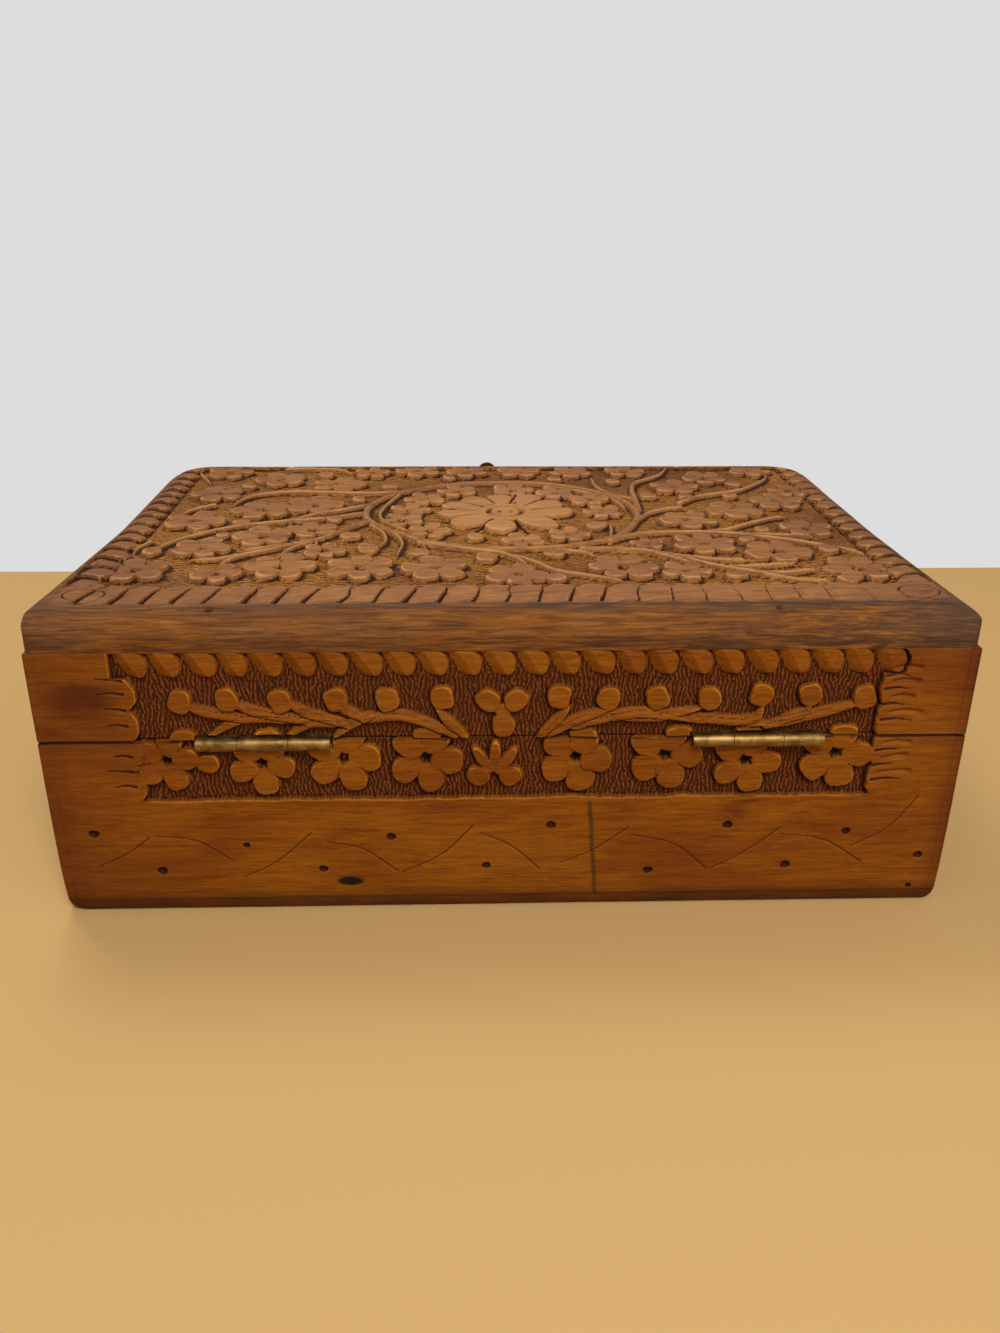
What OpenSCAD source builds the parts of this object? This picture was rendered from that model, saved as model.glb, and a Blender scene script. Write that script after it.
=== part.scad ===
// Keepsake box of carved hardwood with a nailed lid board, two knuckle hinges and a hasp.
// Millimetres. Origin at the centre of the underside, Z up, front at -Y, hinges at +Y.

/* [Box] */
// Overall width, side to side
box_w = 254; // [236:0.5:272]
// Overall depth, front to back
box_d = 172; // [160:0.5:188]
// Overall height with the lid shut
box_h = 91; // [82:0.5:100]
// Height of the lid, from the middle of the seam to the top
lid_h = 36; // [35:0.5:39]
// Gap along the seam with the lid shut
seam_gap = 0.3; // [0.2:0.05:0.5]
// Thickness of the walls
wall_t = 11; // [10:0.5:13]
// Thickness of the bottom board
bottom_t = 4; // [3:0.5:6]
// Thickness of the lid board
board_t = 10; // [9:0.5:12]

/* [Edges] */
// Thickness of the side wall's lip over the ends of the front and back walls
lip_t = 3; // [2:0.5:4]
// Radius along the lower edges of the bottom board
foot_r = 2; // [1:0.25:2.5]
// How far the lid board stands back from the wall faces
board_set = 0.4; // [0.2:0.1:0.8]
// Run of the rounded bevel along front and back of the lid board
bevel_run = 9; // [7:0.5:11]
// Run of the rounded bevel along the sides of the lid board
bevel_side = 7; // [6:0.5:9]
// Drop of the rounded bevel at the edge of the lid board
bevel_drop = 5.5; // [4:0.5:6]
// Drop of the side bevels at the lid board's back corners
bevel_back_drop = 2; // [1:0.25:3]
// Radius of the upright corners of the lid board
board_corner_r = 5; // [3:0.5:7]

/* [Carving] */
// Depth of the carved ground under the wall faces and the lid's top
ground = 2; // [1.2:0.1:2.4]
// Height of the row of rope lobes along the top of the lid walls
rope_h = 7.2; // [6.4:0.1:8]
// Spacing of the rope lobes
rope_pitch = 8.8; // [8.4:0.1:10]
// Drop of the carved band's lower edge under the seam
band_drop = 18.5; // [17.5:0.5:20]
// Plain wood left between a wall's end and the carved band
band_end = 24; // [22:0.5:27]
// Half width of the plain pad behind the hasp
pad_half = 12; // [11:0.5:14]
// Spacing of the flowers in the carved bands
flower_pitch = 22.6; // [21.5:0.1:24]
// Radius of the flowers in the carved bands
flower_r = 9.4; // [8.4:0.1:10]
// Spacing of the buds in the carved bands
bud_pitch = 14; // [13:0.5:16]
// Radius of the rosette in the middle of the lid's top
rosette_r = 23; // [21:0.5:24]
// Half length of the vine ring round the rosette
ring_long = 46.6; // [46:0.1:47.4]
// Half width of the vine ring round the rosette
ring_short = 40; // [39.4:0.1:40.6]
// Width of the vine ring
ring_w = 2.4; // [1.6:0.1:3]
// Length of the rope lobes along the back of the lid's top
lobe_len = 13.6; // [12:0.2:14.4]
// Plain border at the back of the lid's top, behind the rope lobes
back_border = 10.4; // [10:0.2:12]
// Border at the front of the lid's top
front_border = 9.6; // [9:0.2:12]
// Border at the sides of the lid's top
side_border = 13; // [12:0.5:15]

/* [Hinges] */
// Length of each hinge
hinge_len = 36; // [32:0.5:40]
// Diameter of the hinge barrels
barrel_d = 4; // [3.8:0.1:4.4]
// Diameter of the hinge pins
pin_d = 2; // [1.6:0.1:2.2]
// Gap all round between a pin and its knuckles
pin_clear = 0.03; // [0.02:0.01:0.06]
// Length of the middle knuckle
knuckle_mid = 13.5; // [11:0.5:15]
// Gap between neighbouring knuckles
knuckle_gap = 0.15; // [0.1:0.05:0.3]
// Thickness of the hinge leaves
leaf_t = 1; // [0.8:0.1:1.2]
// Reach of the leaves into the walls
leaf_reach = 8.6; // [8:0.1:9.4]
// Drop of the hinge axis under the middle of the seam
hinge_drop = 0.6; // [0.5:0.05:0.8]
// Distance of the hinge axis outside the back face
hinge_out = 0.4; // [0.3:0.05:0.7]
// Place across the back of the middle of the left hinge
hinge_left_x = -68.7; // [-76:0.1:-60]
// Place across the back of the middle of the right hinge
hinge_right_x = 66.3; // [60:0.1:76]
// Gap round a leaf in its mortise
leaf_clear = 0.1; // [0.05:0.05:0.3]
// Gap round a barrel in the notch of the walls
notch_clear = 0.5; // [0.35:0.05:0.6]

/* [Screws and brads] */
// Head diameter of the hinge screws
screw_head_d = 4.2; // [3.8:0.1:4.6]
// Shank diameter of the hinge screws
screw_d = 2.2; // [1.8:0.1:2.4]
// Length of the hinge screws
screw_len = 9; // [7:0.5:12]
// Distance between the two screws of a leaf
screw_span = 20; // [16:0.5:22]
// Shank diameter of the brads
brad_d = 1.4; // [1.2:0.1:1.6]
// Head diameter of the brads
brad_head_d = 1.9; // [1.8:0.1:2.2]
// Length of the brads
brad_len = 20; // [17:0.5:22]
// Depth that the brads of the lid board are set under the wood
brad_set = 1.2; // [0.8:0.1:1.6]
// Gap all round between a driven shank and its wood
fit_clear = 0.02; // [0.01:0.01:0.04]

/* [Hasp] */
// Place of the hasp across the front
hasp_x = 2; // [-4:0.5:4]
// Height of the hasp's axis above the middle of the seam
hasp_rise = 7; // [6.5:0.5:9]
// Width of the hasp plate
hasp_w = 14; // [13:0.5:16]
// Height of the hasp plate
hasp_h = 14; // [13:0.5:15]
// Thickness of the hasp plate
hasp_plate_t = 0.8; // [0.6:0.1:1]
// Diameter of the hasp's barrel
hasp_barrel_d = 3; // [2.8:0.1:3.2]
// Diameter of the hasp's pin
hasp_pin_d = 1.4; // [1.2:0.1:1.6]
// Distance of the hasp's axis outside the front face
hasp_out = 1.7; // [1.65:0.05:2]
// Width of the hasp's tongue
tongue_w = 7.4; // [7:0.1:8]
// Thickness of the hasp's tongue
tongue_t = 0.9; // [0.7:0.1:1]
// Length of the hasp's tongue from its axis
tongue_len = 28; // [27:0.5:30]
// Diameter of the staple's wire
staple_d = 1.8; // [1.5:0.1:1.9]
// Distance between the middles of the staple's legs
staple_span = 6; // [5:0.5:6.5]
// Reach of the staple out of the front face
staple_reach = 7; // [6:0.5:9]
// Distance of the staple's middle under the hasp's axis
staple_drop = 17; // [16.5:0.5:18]
// Gap between the staple and the slot's sides
slot_clear = 0.4; // [0.3:0.05:0.5]

/* [Hidden] */
$fn = 48;
half_w = box_w / 2;
half_d = box_d / 2;
seam_h = box_h - lid_h;
base_top = seam_h - seam_gap / 2;
lid_low = seam_h + seam_gap / 2;
wall_top = box_h - board_t;
face_y = half_d - wall_t / 2;
face_x = half_w - wall_t / 2;
barrel_y = half_d + hinge_out;
barrel_z = seam_h - hinge_drop;
barrel_r = barrel_d / 2;
knuckle_free = barrel_r + 0.3;
screw_y = half_d - 5;
hasp_y = -half_d - hasp_out;
hasp_z = seam_h + hasp_rise;
staple_z = hasp_z - staple_drop;
hasp_r = hasp_barrel_d / 2;
slot_mid = staple_drop;
tongue_free = 0.1;
tongue_lean = atan((hasp_out - tongue_t / 2 - hasp_plate_t - tongue_free) / hasp_h);
slot_w = staple_d + 2 * slot_clear;
slot_h = staple_span + staple_d + 4 * slot_clear;
rope_low = wall_top - rope_h;
band_low = seam_h - band_drop;
brad_inset = 7.4;
base_brad_z = [bottom_t + 12, base_top - 11];
lid_brad_z = [lid_low + 7, wall_top - 7];
bottom_brad_x = [-98, -36, 36, 98];
bottom_brad_y = [-40, 40];
board_brad_x = [-73, 79];
board_brad_y = [-41, 41];
rosette_at = [-2.7, -14.1];
ring_at = [-1.8, -13.6];
petal_turns = [0, 33, 63, 93, 127, 156, 184, 214, 246, 282, 318];
top_flowers = [
  [13.7, -41.1, 6.8, 36], [-6.3, -42.8, 7.1, 71], [-21.7, -38.6, 6.8, 34], [-33, -29.9, 6.8, 69],
  [-36, -14.4, 6.5, 32], [-22.2, 12.2, 6.5, 67], [-7.2, 18.4, 6.5, 30], [22.8, 8.1, 6.8, 65],
  [32, -4.4, 6.8, 28], [30, -16.9, 6.5, 63], [25.3, -30.6, 6.8, 26], [-66.7, -46.9, 8.4, 61],
  [-80.3, -60.3, 7.8, 24], [-51.3, -70.8, 7.4, 59], [-30.2, -69.9, 7.4, 22], [-9.7, -70.8, 7.8, 57],
  [-82, -16.3, 9.4, 20], [-99.8, -26.6, 8.9, 55], [-63.8, -4.8, 9.1, 18], [-108, -40.9, 7.3, 53],
  [-100.7, -71.6, 7.8, 16], [-101, 6.4, 8.1, 51], [-64, 22.2, 9.4, 18], [-45.8, 22.2, 5.2, 49],
  [-85, 30.1, 9.4, 12], [-35.3, 44.7, 9.7, 6], [-53.3, 48.1, 7.1, 10], [-104.3, 46.6, 9.4, 68],
  [-3.3, 51.4, 8.7, 18], [20.2, 44.9, 9.4, 54], [42, 44.1, 9.7, 6], [66, 43.1, 9.7, 8],
  [83.3, 48.9, 7.1, 4], [106.8, 45.7, 8.7, 63], [54.5, 28.1, 6.1, 2], [75.3, 13.4, 9.1, 58],
  [92.3, 25.1, 8.4, 0], [60.3, 6.4, 7.8, 35], [100.8, -4.4, 9.4, 70], [81, -16.9, 9.4, 33],
  [63.2, -23.1, 9.4, 68], [99.7, -38.4, 8.7, 31], [58, -51.3, 9.4, 66], [80.2, -58.8, 8.9, 29],
  [101.3, -69.4, 8.1, 64], [29.2, -71.6, 8.1, 27], [46.7, -68.6, 6.5, 62], [10.3, -70.3, 7.4, 25]
];
top_buds = [
  [7.8, 14.2, 3.3], [-32.2, 2.2, 4], [-101.8, 28.1, 3.7], [-78.3, 18.1, 3.3], [-85.8, 7.2, 3], [-14.7, 53.9, 3.7],
  [-67.3, 52.4, 3.7], [-98.5, 56.7, 3.3], [-16, 31.7, 3.7], [4.8, 35.1, 4], [65.3, 33.9, 3.3], [25.3, 30.6, 3.7],
  [41.2, 26.4, 4], [47.8, 13.1, 3.7], [38.7, -47.8, 3.3], [64, -65.6, 3.7], [84.8, -1.9, 3.3], [88.3, 11.9, 2.7],
  [106.7, 28.4, 3.3], [54.8, -5.3, 3], [-54.8, -34.1, 3.3], [-68.3, -33.3, 3], [-84.7, -34.4, 3], [48.7, -30.3, 3],
  [-89.7, -51.1, 3.3], [-23, -58.6, 3], [-44.7, -55.3, 3], [17, -61.1, 3], [90.3, -48.6, 3]
];
top_vines = [
  [32, -41.1, 49, -39.6, 66.1, -41, 2], [66.1, -41, 82.6, -37.9, 92.3, -24.4, 1.3],
  [43.7, -24.4, 51.1, -18.9, 58.8, -13.8, 1.8], [58.8, -13.8, 65.6, -7.7, 69.5, 0.6, 1.2],
  [46.2, -12.8, 63.7, -5.5, 81.8, 0.6, 2], [81.8, 0.6, 97.1, 11.6, 106, 28.1, 1.3],
  [44.5, -2.8, 51.4, 7.2, 58.8, 16.6, 2.3], [58.8, 16.6, 69.1, 22.9, 80.3, 27.6, 1.6],
  [56.2, 15.6, 62.7, 22.6, 67.8, 30.6, 1.1], [65.3, 22.2, 79, 31.7, 94.5, 36.9, 1.5],
  [77, 30.6, 81.3, 35.8, 84.5, 41.7, 1.1], [42, 1.4, 37.1, 12.7, 38.3, 24.7, 1.4],
  [38.7, 4.7, 31.6, 18.4, 32.3, 33.9, 1.4], [32, 11.4, 26.3, 18.5, 22.8, 26.7, 1.1],
  [25.3, 19.7, 8.6, 27, -6.5, 36.8, 2], [-6.5, 36.8, -19.5, 49.3, -35.5, 58.1, 1.3],
  [0.3, 30.6, -4.7, 37.1, -7.7, 44.7, 1.1], [57.8, 18.1, 57.5, 23.3, 55.3, 28.1, 1],
  [98, -23.9, 104, -18.1, 107.3, -10.4, 1.4], [112.5, -68.3, 108.5, -59.9, 104.5, -51.6, 1.4],
  [80.2, -75.3, 64.3, -74.4, 53, -64.8, 1.4], [109.3, 18.1, 112.2, 27.5, 113.5, 37.2, 1.2],
  [34.5, -36.9, 37.9, -24.7, 39.6, -12.1, 1.4], [39.6, -12.1, 36.4, 0, 27.8, 9.4, 1.3],
  [-18.8, -47.8, -36.3, -35.8, -45, -16.9, 1.4], [-34.7, 18.1, -50.3, 10.5, -67.9, 10.1, 2.2],
  [-67.9, 10.1, -85.4, 12.3, -102.7, 15.6, 1.4], [-67.3, 10.1, -75.6, 6.2, -83, 0.6, 1.6],
  [-83, 0.6, -90.6, -4.5, -98.8, -8.6, 1.1], [-78, 12.2, -87.8, 16.5, -97, 21.7, 1.8],
  [-97, 21.7, -105.8, 27.7, -112, 36.1, 1.2], [-47.2, -5.3, -55.4, -15.1, -67.2, -19.8, 1.5],
  [-48.8, -16.9, -50, -33.5, -52.3, -49.8, 2.5], [-52.3, -49.8, -62.1, -62.7, -69.2, -77.6, 1.4],
  [-48.8, -30.3, -38.8, -45, -37, -63.1, 1.4], [-64.7, -25.6, -76.2, -35.4, -89.7, -42.6, 1.8],
  [-89.7, -42.6, -100, -53.7, -106.7, -67.3, 1.2], [-25.2, 26.4, -44.4, 29.3, -60, 40.8, 2.2],
  [-60, 40.8, -76.5, 51.3, -94.7, 57.7, 1.4], [-53, 33.9, -64.4, 37.5, -76.3, 38.9, 1.1],
  [-66.3, 44.7, -77.8, 43.2, -89.2, 41.4, 1.2], [-68.8, 47.2, -80, 50.1, -91.3, 47.6, 1.9],
  [-47.2, 31.4, -54, 38.3, -57.7, 47.2, 1.1], [-16.8, 28.1, -24.3, 30, -29.5, 35.6, 1.2],
  [-34.7, 18.1, -36.4, 7.3, -35.5, -3.6, 1.1]
];
oak = [0.66, 0.42, 0.22];
oak_dark = [0.5, 0.3, 0.16];
brass = [0.72, 0.58, 0.3];
steel = [0.55, 0.53, 0.5];

// Shapes used by several pieces

// A cylinder along X, centred on its middle
module rod_x(r, h) {
  translate([-h / 2, 0, 0]) rotate([0, 90, 0]) cylinder(r = r, h = h);
}

// A block whose X and Y run from the first point to the second
module slab(x0, y0, z0, x1, y1, z1) {
  translate([x0, y0, z0]) cube([x1 - x0, y1 - y0, z1 - z0]);
}

// Lays a flat shape on an outer face as a cut of the ground's depth; turn 0 is the front
module face_cut(turn, dist) {
  rotate([0, 0, turn])
    translate([0, -dist + ground, 0])
      rotate([90, 0, 0])
        linear_extrude(ground + 1) children();
}

// Outline of the carved band on a wall of the given half length, between two heights
module band(half, low, high) {
  difference() {
    translate([-half + band_end, low]) square([2 * (half - band_end), high - low]);
    for (s = [-1, 1], z = [band_low + 4.6 : 9.6 : rope_low - 2])
      translate([s * (half - band_end + 1), z]) circle(r = 4.4);
  }
}

// Flower with petals round its middle
module flower(r, petals, turn) {
  for (i = [0 : petals - 1]) rotate(turn + i * 360 / petals) translate([0.64 * r, 0]) circle(r = 0.34 * r);
  circle(r = 0.36 * r);
}

// Centre of the circle through three points, each an X and a Y
function round_centre(v) =
  let (a = v[0] * v[0] + v[1] * v[1], b = v[2] * v[2] + v[3] * v[3], c = v[4] * v[4] + v[5] * v[5],
    d = 2 * (v[0] * (v[3] - v[5]) + v[2] * (v[5] - v[1]) + v[4] * (v[1] - v[3])))
  abs(d) < 8 ? undef :
  [(a * (v[3] - v[5]) + b * (v[5] - v[1]) + c * (v[1] - v[3])) / d,
    (a * (v[4] - v[2]) + b * (v[0] - v[4]) + c * (v[2] - v[0])) / d];

// Vine of even width along the arc through three points, or straight where they lie in a line
module vine(v) {
  c = round_centre(v);
  p = [v[0], v[1]];
  q = [v[2], v[3]];
  e = [v[4], v[5]];
  w = v[6] / 2;
  if (c == undef || norm(p - c) > 220) {
    n = [p[1] - e[1], e[0] - p[0]] * w / norm(e - p);
    polygon([p - n, e - n, e + n, p + n]);
  } else {
    r = norm(p - c);
    intersection() {
      translate(c)
        difference() {
          circle(r = r + w, $fn = 160);
          circle(r = r - w, $fn = 160);
        }
      polygon([c, c + 1.9 * (p - c), c + 1.9 * (q - c), c + 1.9 * (e - c)]);
    }
  }
}

// Flowers of the band under the seam, with a fan of leaves in the middle
module base_motifs(half) {
  count = floor((half - band_end - 8) / flower_pitch);
  for (s = [-1, 1], i = [1 : count])
    translate([s * i * flower_pitch, seam_h - 6.2]) flower(flower_r, 5, -90 + s * 8 * i);
  translate([0, seam_h]) {
    polygon([[0, -12], [-7, -1.5], [-3, -0.8]]);
    polygon([[0, -12], [-1.6, 0.5], [2.2, 0.5]]);
    polygon([[0, -12], [3.4, -0.8], [7.8, -2.2]]);
    for (s = [-1, 1]) translate([s * 4.6, -12.4]) circle(r = 3.5);
    translate([0, -11.6]) circle(r = 1.3);
  }
}

// Sprays of buds and leaves above the seam, growing out from a small flower in the middle
module lid_motifs(half) {
  count = floor((half - band_end - 18) / bud_pitch);
  translate([0, seam_h + 8]) flower(6.4, 3, -90);
  for (s = [-1, 1]) {
    for (i = [0 : count]) {
      u = 16 + i * bud_pitch;
      translate([s * u, seam_h + 12.4]) circle(r = 3.3);
      vine([s * u, seam_h + 10.4, s * (u - 3), seam_h + 7.6, s * (u - 8), seam_h + 5.4, 2]);
      vine([s * (u - 8), seam_h + 5.6, s * (u + 2), seam_h + 7, s * (u + 9), seam_h + 5, 2.2]);
      if (i % 2 == 1)
        vine([s * (u - 6), seam_h + 6, s * (u + 1), seam_h + 4.6, s * (u + 6), seam_h + 1.4, 2]);
      if (i % 2 == 0) translate([s * (u + 6), seam_h + 0.4]) circle(r = 3.1);
    }
    vine([s * 3, seam_h + 0.4, s * 6, seam_h + 3, s * 9, seam_h + 5.8, 2]);
  }
}

// Strip kept free of raised carving round the hinge barrels
module hinge_strip() {
  for (u = [-hinge_left_x, -hinge_right_x])
    translate([u - hinge_len / 2 - 1.6, seam_h - 4.4]) square([hinge_len + 3.2, 7]);
}

// Oval made of four arcs, drawn outside or inside the vine ring's middle line
module oval(out) {
  shift = 12;
  small = ring_long - shift;
  k = (shift * shift - (small - ring_short) * (small - ring_short)) / (2 * (ring_short - small));
  big = ring_short + k;
  flat = big * shift / norm([shift, k]);
  for (s = [-1, 1]) translate([s * shift, 0]) circle(r = small + out, $fn = 96);
  intersection() {
    for_both(k) circle(r = big + out, $fn = 160);
    square([2 * flat, 2 * (ring_short + 9)], center = true);
  }
}

// The overlap of a shape moved down and the same shape moved up
module for_both(k) {
  intersection() {
    translate([0, -k]) children();
    translate([0, k]) children();
  }
}

// Everything that stands up from the ground of the lid's top
module top_motifs() {
  translate(rosette_at) {
    circle(r = 0.56 * rosette_r);
    for (a = petal_turns) rotate(a) translate([0.74 * rosette_r, 0]) circle(r = 0.26 * rosette_r);
  }
  translate(ring_at)
    difference() {
      oval(ring_w / 2);
      oval(-ring_w / 2);
    }
  for (f = top_flowers) translate([f[0], f[1]]) flower(f[2], 5, f[3]);
  for (b = top_buds) translate([b[0], b[1]]) circle(r = b[2]);
  for (v = top_vines) vine(v);
  count = floor(2 * (half_w - side_border) / rope_pitch);
  for (i = [0 : count - 1])
    translate([(i - (count - 1) / 2) * rope_pitch, half_d - back_border - lobe_len + rope_pitch / 2]) {
      circle(d = rope_pitch - 0.8);
      translate([-rope_pitch / 2 + 0.4, 0]) square([rope_pitch - 0.8, lobe_len]);
    }
}

// Row of slanted rope lobes along the top of a lid wall
module rope(half) {
  count = floor(2 * (half - band_end) / rope_pitch);
  step = 2 * (half - band_end) / count;
  for (i = [0 : count - 1])
    translate([-half + band_end + (i + 0.5) * step, rope_low]) {
      intersection() {
        translate([-step / 2 + 0.3, 0]) square([step - 0.6, rope_h + 1]);
        union() {
          translate([step / 2 - 0.3 - rope_h / 2, rope_h / 2]) circle(r = rope_h / 2);
          polygon([[-step / 2, rope_h], [step / 2 - 4, 0], [step / 2 - 4, rope_h + 2], [-step / 2, rope_h + 2]]);
        }
      }
    }
}

// Brad along -Z with its head's top at the origin
module brad() {
  translate([0, 0, -brad_len]) cylinder(d = brad_d, h = brad_len);
  translate([0, 0, -0.6]) cylinder(d = brad_head_d, h = 0.6);
}

// Room for a brad, open above its head by the given height
module brad_hole(up) {
  translate([0, 0, -brad_len - 0.3]) cylinder(d = brad_d + 2 * fit_clear, h = brad_len + 0.4);
  translate([0, 0, -0.6]) cylinder(d = brad_head_d + 2 * fit_clear, h = 0.6 + up);
}

// Countersunk screw along -Z with its head's top at the origin
module screw() {
  difference() {
    union() {
      translate([0, 0, -leaf_t]) cylinder(d1 = screw_d, d2 = screw_head_d, h = leaf_t);
      translate([0, 0, -screw_len + 2]) cylinder(d = screw_d, h = screw_len - 2);
      translate([0, 0, -screw_len]) cylinder(d1 = 0.6, d2 = screw_d, h = 2);
    }
    translate([-screw_head_d, -0.3, -0.5]) cube([2 * screw_head_d, 0.6, 1]);
  }
}

// Room for a screw through its leaf and into the wood
module screw_hole() {
  translate([0, 0, -leaf_t]) cylinder(d1 = screw_d + 2 * fit_clear, d2 = screw_head_d + 2 * fit_clear, h = leaf_t);
  cylinder(d = screw_head_d + 2 * fit_clear, h = 1);
  translate([0, 0, -screw_len - 0.3]) cylinder(d = screw_d + 2 * fit_clear, h = screw_len);
}

// Puts a child at both screws of a base leaf
module at_base_screws(cx) {
  for (s = [-1, 1]) translate([cx + s * screw_span / 2, screw_y, base_top]) children();
}

// Puts a child, turned over, at both screws of a lid leaf
module at_lid_screws(cx) {
  for (s = [-1, 1]) translate([cx + s * screw_span / 2, screw_y, lid_low]) rotate([180, 0, 0]) children();
}

// Pin bore of a hinge
module pin_bore(cx) {
  translate([cx, barrel_y, barrel_z]) rod_x(pin_d / 2 + pin_clear, hinge_len + 2);
}

// Leaf with the two outer knuckles, lying in the top edge of the back wall
module base_leaf(cx) {
  difference() {
    union() {
      slab(cx - hinge_len / 2, half_d - leaf_reach, base_top - leaf_t, cx + hinge_len / 2, barrel_y, base_top);
      translate([cx, barrel_y, barrel_z]) rod_x(barrel_r, hinge_len);
    }
    slab(cx - knuckle_mid / 2 - knuckle_gap, barrel_y - knuckle_free, barrel_z - 4,
      cx + knuckle_mid / 2 + knuckle_gap, barrel_y + 4, barrel_z + 4);
    pin_bore(cx);
    at_base_screws(cx) screw_hole();
  }
}

// Leaf with the middle knuckle, lying in the lower edge of the lid's back wall
module lid_leaf(cx) {
  difference() {
    union() {
      slab(cx - hinge_len / 2, half_d - leaf_reach, lid_low, cx + hinge_len / 2, barrel_y - knuckle_free, lid_low + leaf_t);
      slab(cx - knuckle_mid / 2, half_d - leaf_reach, lid_low, cx + knuckle_mid / 2, barrel_y, lid_low + leaf_t);
      translate([cx, barrel_y, barrel_z]) rod_x(barrel_r, knuckle_mid);
    }
    pin_bore(cx);
    at_lid_screws(cx) screw_hole();
  }
}

module hinge_pin(cx) {
  translate([cx, barrel_y, barrel_z]) rod_x(pin_d / 2, hinge_len - 0.2);
}

// Mortise of a leaf and notch of a barrel in the edge of a back wall
module hinge_room(cx) {
  slab(cx - hinge_len / 2 - leaf_clear, half_d - leaf_reach - leaf_clear, base_top - leaf_t,
    cx + hinge_len / 2 + leaf_clear, half_d + 5, lid_low + leaf_t);
  translate([cx, barrel_y, barrel_z]) rod_x(barrel_r + notch_clear, hinge_len + 1.2);
}

// Front or back wall between two heights, with brad holes in its ends
module end_wall(sy, low, high, brad_z) {
  difference() {
    translate([0, sy * face_y, 0])
      slab(-half_w + lip_t, -wall_t / 2, low, half_w - lip_t, wall_t / 2, high);
    corner_brad_rooms(brad_z);
  }
}

// Side wall between two heights, rebated over the ends of the front and back walls
module side_wall(sx, low, high, brad_z) {
  difference() {
    translate([sx * face_x, 0, 0]) slab(-wall_t / 2, -half_d, low, wall_t / 2, half_d, high);
    for (sy = [-1, 1])
      translate([sx * (half_w - lip_t - wall_t), sy * (half_d - wall_t / 2), 0])
        slab(-wall_t, -wall_t / 2 - (sy > 0 ? 0 : 1), low - 1, wall_t, wall_t / 2 + (sy > 0 ? 1 : 0), high + 1);
    corner_brad_rooms(brad_z);
  }
}

// Puts a child at each corner brad, turned so that it runs into the end of a front or back wall
module at_corner_brads(brad_z) {
  for (sx = [-1, 1], sy = [-1, 1], z = brad_z)
    translate([sx * half_w, sy * face_y, z]) rotate([0, sx * 90, 0]) children();
}

module corner_brad_rooms(brad_z) {
  at_corner_brads(brad_z) brad_hole(1);
}

// Puts a child, turned over, at each brad of the bottom board
module at_bottom_brads() {
  for (x = bottom_brad_x, sy = [-1, 1]) translate([x, sy * face_y, 0]) rotate([180, 0, 0]) children();
  for (y = bottom_brad_y, sx = [-1, 1]) translate([sx * face_x, y, 0]) rotate([180, 0, 0]) children();
}

// Height of the lid board's surface at a distance inside its edge
function bevel_z(inset, run) =
  let (r = (run * run + bevel_drop * bevel_drop) / (2 * bevel_drop), k = max(run - inset, 0))
  box_h - r + sqrt(r * r - k * k);

// Puts a child at each brad of the lid board, with the head set under the bevel
module at_board_brads() {
  for (x = board_brad_x, sy = [-1, 1])
    translate([x, sy * (half_d - brad_inset), bevel_z(brad_inset - board_set, bevel_run) - brad_set]) children();
  for (y = board_brad_y, sx = [-1, 1])
    translate([sx * (half_w - brad_inset), y, bevel_z(brad_inset - board_set, bevel_side) - brad_set]) children();
}

// What a bevel takes off one long edge: the edge runs along X at the origin, wood towards -Y and -Z
module bevel_cut(run, length) {
  r = (run * run + bevel_drop * bevel_drop) / (2 * bevel_drop);
  translate([-length / 2, 0, 0])
    rotate([90, 0, 90])
      linear_extrude(length)
        difference() {
          translate([-run, -bevel_drop - 2]) square([run + 3, bevel_drop + 6]);
          translate([-run, -r]) circle(r = r, $fn = 96);
          translate([-run - 1, -bevel_drop - 3]) square([run + 1, 3]);
        }
}

// Base

module bottom_board() {
  color(oak_dark)
    difference() {
      intersection() {
        translate([0, half_d, 0]) rotate([90, 0, 0]) linear_extrude(box_d) foot_section(half_w);
        translate([-half_w, 0, 0]) rotate([90, 0, 90]) linear_extrude(box_w) foot_section(half_d);
      }
      at_bottom_brads() brad_hole(1);
    }
}

// Section of the bottom board with its two lower edges rounded
module foot_section(half) {
  translate([-half + foot_r, 0]) square([2 * (half - foot_r), bottom_t]);
  translate([-half, foot_r]) square([2 * half, bottom_t - foot_r]);
  for (s = [-1, 1]) translate([s * (half - foot_r), foot_r]) circle(r = foot_r);
}

module base_back_wall() {
  color(oak)
    difference() {
      end_wall(1, bottom_t, base_top, base_brad_z);
      face_cut(180, half_d)
        difference() {
          band(half_w, band_low, base_top + 1);
          difference() {
            base_motifs(half_w);
            hinge_strip();
          }
        }
      for (cx = [hinge_left_x, hinge_right_x]) {
        hinge_room(cx);
        at_base_screws(cx) screw_hole();
      }
      at_bottom_brads() brad_hole(1);
    }
}

module base_front_wall() {
  color(oak)
    difference() {
      end_wall(-1, bottom_t, base_top, base_brad_z);
      face_cut(0, half_d)
        difference() {
          band(half_w, band_low, base_top + 1);
          base_motifs(half_w);
          translate([hasp_x - pad_half, 0]) square([2 * pad_half, box_h]);
        }
      at_bottom_brads() brad_hole(1);
      for (s = [-1, 1])
        translate([hasp_x, -half_d - 1, staple_z + s * staple_span / 2])
          rotate([-90, 0, 0]) cylinder(d = staple_d + 2 * fit_clear, h = 9.3);
    }
}

module base_left_wall() {
  color(oak_dark)
    difference() {
      side_wall(-1, bottom_t, base_top, base_brad_z);
      face_cut(-90, half_w)
        difference() {
          band(half_d, band_low, base_top + 1);
          base_motifs(half_d);
        }
      at_bottom_brads() brad_hole(1);
    }
}

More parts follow.
